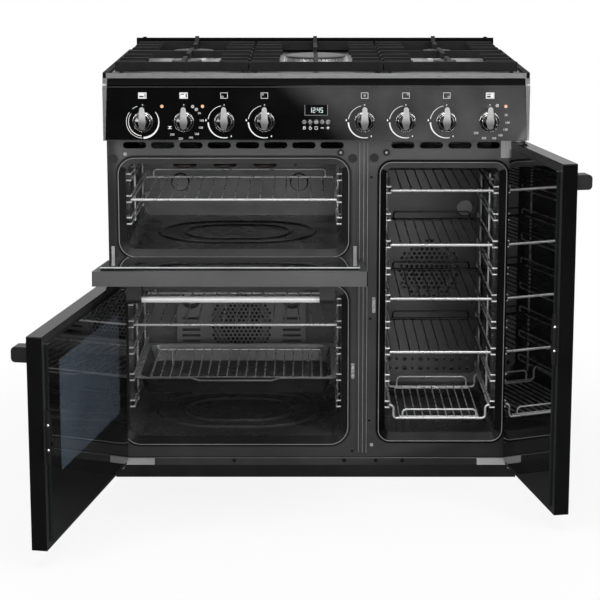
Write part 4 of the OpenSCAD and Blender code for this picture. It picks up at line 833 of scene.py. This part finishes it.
marks = [disc(x, DOT_Z, 1.2, 10) for x in KNOB_X]
for i, spot in BURNER_SPOTS.items():
    marks += burner_marks(KNOB_X[i], spot)
marks += arcs(KNOB_X[GRILL_KNOB], GRILL_ARCS)
icon_shapes = []
for i, shapes in ICON_SHAPES.items():
    marks += oven_icon(KNOB_X[i])
    icon_shapes += [rect(KNOB_X[i] + x0, KNOB_X[i] + x1, ICON_Z + z0, ICON_Z + z1)
                    for x0, x1, z0, z1 in shapes]
for i, dx, dz, radius, line in FAN_SYMBOLS:
    marks += ring(KNOB_X[i] + dx, KNOB_Z + dz, radius, line)
    marks += [disc(KNOB_X[i] + dx, KNOB_Z + dz, line, 8)]
marks += element_symbol(KNOB_X[MAIN_KNOB])
marks += button_symbols(SYMBOL_Z)
printed("panel_marks", marks, MARK)
printed("panel_icon_shapes", icon_shapes, SHADOW_AND_PRINT_BLACK, thickness=0.3)

for i, turn in TEMP_TURNS.items():
    for degrees, text in TEMPS:
        angle = math.radians(degrees + turn)
        label(f"temp_{i + 1}_{text}", text, KNOB_X[i] + SCALE_HALF_W * math.sin(angle),
              KNOB_Z + SCALE_HALF_H * math.cos(angle), TEMP_SIZE)

# ---------------------------------------------------------------- clock
# the clock's frame is open at its top
CLOCK_FRAME = [rect(-24.4, -23.2, 811.4, 833), rect(23.2, 24.4, 811.4, 833),
               rect(-24.4, 24.4, 810.6, 811.6)]
printed("clock_frame", CLOCK_FRAME, GREY_MARK, thickness=0.25)

# segments of each digit: a top, b and c right, d bottom, e and f left, g middle
SEGMENTS = {"1": "bc", "2": "abged", "4": "fgbc", "5": "afgcd"}


def digit(character, x, z, w, h, t):
    """A seven-segment digit of width w and height h in bars of width t."""
    m = h / 2
    bars = {"a": rect(x, x + w, z + h - t, z + h), "d": rect(x, x + w, z, z + t),
            "g": rect(x, x + w, z + m - t / 2, z + m + t / 2), "f": rect(x, x + t, z + m, z + h),
            "b": rect(x + w - t, x + w, z + m, z + h), "e": rect(x, x + t, z, z + m),
            "c": rect(x + w - t, x + w, z, z + m)}
    return [bars[segment] for segment in SEGMENTS[character]]


time_shown = []
for character, x in (("1", -14.5), ("2", -7.2), ("4", 1.8), ("5", 9.0)):
    time_shown += digit(character, x, 816.6, 5.2, 10.6, 1.1)
time_shown += [rect(-0.6, 0.4, 819, 820.1), rect(-0.6, 0.4, 823.6, 824.7)]
printed("clock_digits", time_shown, DIGITS, y=-45.02)


# ---------------------------------------------------------------- painted highlights on mouths, floors and facing
def outline_tube(name, outline, y, radius, mat, body, place=None):
    tube(name, [(x, y, z) for x, z in outline], radius, mat, body, True, place)


def pressed_ridge(name, half_x, half_y, z):
    """The oval line on an oven floor where the light catches the pressing."""
    cx, cy, steps = -177, 220, 64
    points = []
    for k in range(steps):
        t = 2 * math.pi * (k + 0.5) / steps
        x = cx + math.copysign(half_x - half_y, math.cos(t)) + half_y * math.cos(t)
        points.append((x, cy + half_y * math.sin(t), z))
    tube(name, points, 0.7, RIDGE_LINE, "cooker", True)


# painted highlights round the rim of each oven mouth
LIP_INSET, LIP_Y, LIP_R = 0.5, -3.8, 1.0
for tag, (x0, x1, z0, z1, radius) in OVENS.items():
    lip = rounded(x0 + LIP_INSET, x1 - LIP_INSET, z0 + LIP_INSET, z1 - LIP_INSET,
                  radius - LIP_INSET)
    outline_tube(f"mouth_lip_highlight_{tag}", lip, LIP_Y, LIP_R, LIP_HIGHLIGHT, "cooker")

GRILL_FLOOR_Z, MAIN_FLOOR_Z = 514.4, 93.4
# painted highlights on the pressed rings of the grill and low oven floors
pressed_ridge("grill_ridge_highlight_1", 175, 130, GRILL_FLOOR_Z)
pressed_ridge("grill_ridge_highlight_2", 120, 85, GRILL_FLOOR_Z)
pressed_ridge("main_ridge_highlight_1", 185, 140, MAIN_FLOOR_Z)
pressed_ridge("main_ridge_highlight_2", 125, 90, MAIN_FLOOR_Z)

# painted highlight along the pressed frame of the grill oven's back
BACK_Y = 436.2
outline_tube("grill_back_highlight", rounded(-374, 20, 548, 678, 14), BACK_Y, 0.8, LIP_HIGHLIGHT, "cooker")

# painted highlights on the folded edges of the base, and of the wall between the ovens by their x
# and y
DIVIDER_HIGHLIGHTS = ((93.8, 0), (102.8, 0), (110.9, -2))
DIVIDER_Z0, DIVIDER_Z1 = 57, 747
slab("base_highlight", -449, 449, -0.6, -0.1, 44.2, 45.2, LIP_HIGHLIGHT, "cooker")
for i, (x, y) in enumerate(DIVIDER_HIGHLIGHTS):
    slab(f"divider_highlight_{i + 1}", x - 0.6, x + 0.6, y - 0.7, y, DIVIDER_Z0, DIVIDER_Z1, LIP_HIGHLIGHT,
         "cooker")

# ---------------------------------------------------------------- doors
CLAMP_HALF = 52
CLAMP_REACH, CLAMP_BELLY, CLAMP_EDGE = 2, 9, 4.5
CLAMP_Y = (-12.9, -4.4)
CLAMP_SCREWS_Z = (-24, 25)
CLAMP_SCREW_Y = -8.4
CLAMP_SCREW = [(0, 3.0), (2.2, 2.6), (3.6, 1.4), (4.0, 0), (4.0, -1)]


def door_clamp(tag, x, side, z):
    """Black clamp over the free edge of a door's inner pane, with two bright screws.
    side is 1 where that edge is at the right of the shut door, and -1 at its left."""
    door = f"{tag}_door"
    edge_x = x + side * CLAMP_EDGE
    steps = 12
    outline = []
    for i in range(steps + 1):
        t = i / steps
        reach = CLAMP_REACH + CLAMP_BELLY * math.sin(math.pi * t)
        outline.append((x - side * reach, z - CLAMP_HALF + 2 * CLAMP_HALF * t))
    outline += [(edge_x, z + CLAMP_HALF), (edge_x, z - CLAMP_HALF)]
    profile = CLAMP_SCREW
    if side < 0:
        outline = outline[::-1]
        profile = [(radius, -height) for radius, height in profile[::-1]]
    verts, faces = prisms([outline], CLAMP_Y)
    mesh_piece(f"{tag}_clamp", verts, faces, PLASTIC, door, OPEN[door], edge=0.6)
    for k, dz in enumerate(CLAMP_SCREWS_Z):
        lathe(f"{tag}_clamp_screw_{k + 1}", profile, (edge_x, CLAMP_SCREW_Y, z + dz), "x", CHROME,
              door, OPEN[door], 24)


door_clamp("main", 87, 1, 255)
door_clamp("tall", 120, -1, 397)

# low and high edge of the windows in the outer panels
WINDOWS = {"main_door": (171, 392), "grill_door": (547, 661)}

# bluish window seen through the inner pane of the main door, just proud of that pane
TINT_Y = (-4.98, -4.78)
verts, faces = prisms([rounded(-376, 24, *WINDOWS["main_door"], 6)], TINT_Y)
mesh_piece("main_window_tint", verts, faces, WINDOW, "main_door", OPEN["main_door"])

# painted highlights on the grill door: along the pane's top edge and the pressed edge in front of
# it
SKIN_X0, SKIN_X1, SKIN_Y, SKIN_Z = -447, 100, -42.5, 750.5
slab("grill_pane_highlight", -434, 87, -7.5, -5.2, 735.9, 736.5, EDGE_HIGHLIGHT, "grill_door",
     OPEN["grill_door"])
tube("grill_skin_highlight", [(SKIN_X0, SKIN_Y, SKIN_Z), (SKIN_X1, SKIN_Y, SKIN_Z)], 0.5, EDGE_HIGHLIGHT,
     "grill_door", place=OPEN["grill_door"])

# steel trims round the outer windows
TRIM_Y, TRIM_R = -42.4, 1.2
for door, (z0, z1) in WINDOWS.items():
    outline_tube(f"{door}_window_trim", rounded(-373.5, 26.5, z0, z1, 10), TRIM_Y, TRIM_R, TUBE,
                 door, OPEN[door])


# ---------------------------------------------------------------- floor
def floor_material():
    """Pale grey that turns as white as the backdrop farther off, and that shows dark in the black
    gloss, as in the photograph."""
    made, tree, shader = material("pale_floor")
    ray = tree.nodes.new("ShaderNodeLightPath").outputs
    pale = ramp(tree, noise(tree, 2.0), (0.3, 0.8), (0.7, 0.84))
    seen = mix_colour(tree, ray["Is Glossy Ray"], pale, 0.06)
    tree.links.new(seen, shader.inputs["Base Color"])
    set_inputs(shader, Roughness=0.6, Specular_IOR_Level=0.1)
    white = tree.nodes.new("ShaderNodeEmission")
    set_inputs(white, Strength=1.0)
    distance = tree.nodes.new("ShaderNodeVectorMath")
    distance.operation = "DISTANCE"
    distance.inputs[1].default_value = (0, 0, 0)
    tree.links.new(object_space(tree), distance.inputs[0])
    fade = map_range(tree, distance.outputs["Value"], 0.6, 1.5, 0.86, 1.0)
    whiteness = math_node(tree, "MULTIPLY", ray["Is Camera Ray"], fade)
    mixed = mix_shader(tree, whiteness, shader.outputs["BSDF"], white.outputs["Emission"])
    tree.links.new(mixed, tree.nodes["Material Output"].inputs["Surface"])
    return made


def add_floor(half, z):
    mesh = bpy.data.meshes.new("floor")
    corners = [(x, y, z) for x, y in ((-half, -half), (half, -half), (half, half), (-half, half))]
    mesh.from_pydata(corners, [], [[0, 1, 2, 3]])
    mesh.materials.append(floor_material())
    floor = bpy.data.objects.new("floor", mesh)
    bpy.context.scene.collection.objects.link(floor)


add_floor(14, -0.0005)


# ---------------------------------------------------------------- world
def white_light(tree, strength):
    """strength is a number or an output of another node."""
    made = tree.nodes.new("ShaderNodeBackground")
    set_inputs(made, Color=colour(1.0))
    if isinstance(strength, float):
        set_inputs(made, Strength=strength)
    else:
        tree.links.new(strength, made.inputs["Strength"])
    return made.outputs["Background"]


def room_light(tree):
    """What the shiny parts see: bright above, behind and at both sides, dark in front."""
    coord = tree.nodes.new("ShaderNodeTexCoord")
    axes = tree.nodes.new("ShaderNodeSeparateXYZ")
    tree.links.new(coord.outputs["Generated"], axes.inputs["Vector"])
    side = math_node(tree, "ABSOLUTE", axes.outputs["X"])
    sides = math_node(tree, "MULTIPLY", map_range(tree, side, 0.45, 0.6, 0.0, 0.9),
                      map_range(tree, side, 0.86, 0.94, 1.0, 0.15))
    above = map_range(tree, axes.outputs["Z"], 0.5, 0.75, 0.0, 0.75)
    behind = map_range(tree, axes.outputs["Y"], 0.1, 0.5, 0.0, 0.5)
    brightest = math_node(tree, "MAXIMUM", math_node(tree, "MAXIMUM", sides, above), behind)
    return white_light(tree, math_node(tree, "ADD", brightest, 0.05))


def add_world():
    """White to the camera and through glass, even light on matt parts, a room to shiny ones."""
    world = bpy.data.worlds.new("studio")
    world.use_nodes = True
    bpy.context.scene.world = world
    tree = world.node_tree
    ray = tree.nodes.new("ShaderNodeLightPath").outputs
    lit = mix_shader(tree, ray["Is Glossy Ray"], white_light(tree, 0.36), room_light(tree))
    straight = math_node(tree, "MAXIMUM", ray["Is Camera Ray"], ray["Is Transmission Ray"])
    mixed = mix_shader(tree, straight, lit, white_light(tree, 1.0))
    tree.links.new(mixed, tree.nodes["World Output"].inputs["Surface"])


add_world()


# ---------------------------------------------------------------- lights and camera, in metres
def softbox(name, place, aim, size, watts):
    light = bpy.data.lights.new(name, "AREA")
    light.shape = "RECTANGLE"
    light.size, light.size_y = size
    light.energy = watts
    lamp = bpy.data.objects.new(name, light)
    lamp.location = place
    lamp.rotation_euler = (Vector(aim) - Vector(place)).to_track_quat("-Z", "Y").to_euler()
    bpy.context.scene.collection.objects.link(lamp)
    return lamp


softbox("top_box", (0.0, -0.6, 3.2), (0, 0, 0.7), (2.6, 1.8), 52)
softbox("left_box", (-2.6, -2.2, 1.7), (0, 0, 0.5), (1.0, 1.8), 36)
softbox("right_box", (2.6, -2.4, 1.9), (0.1, 0, 0.5), (0.9, 1.8), 44)
softbox("front_fill", (0.2, -4.6, 1.4), (0, 0, 0.4), (2.0, 0.8), 26)
low_fill = softbox("low_fill", (0.1, -4.4, 0.5), (0, 0, 0.3), (1.8, 0.6), 22)
low_fill.visible_glossy = False

PHOTO_WIDTH_PX = 600.0
FOCAL_PX = 1797.9
SENSOR_WIDTH = 36.0
CAMERA_TILT = 10.45
CAMERA_TURN = 0.03
cam_data = bpy.data.cameras.new("camera")
cam_data.sensor_width = SENSOR_WIDTH
cam_data.lens = FOCAL_PX * SENSOR_WIDTH / PHOTO_WIDTH_PX
cam_data.shift_x = -0.01
cam_data.shift_y = -0.12
cam_data.clip_end = 100.0
cam = bpy.data.objects.new("camera", cam_data)
cam.location = (-0.0195, -3.8166, 1.2649)
cam.rotation_euler = (math.radians(90 - CAMERA_TILT), 0, math.radians(CAMERA_TURN))
bpy.context.scene.collection.objects.link(cam)
bpy.context.scene.camera = cam
bpy.context.scene.view_settings.view_transform = "Standard"
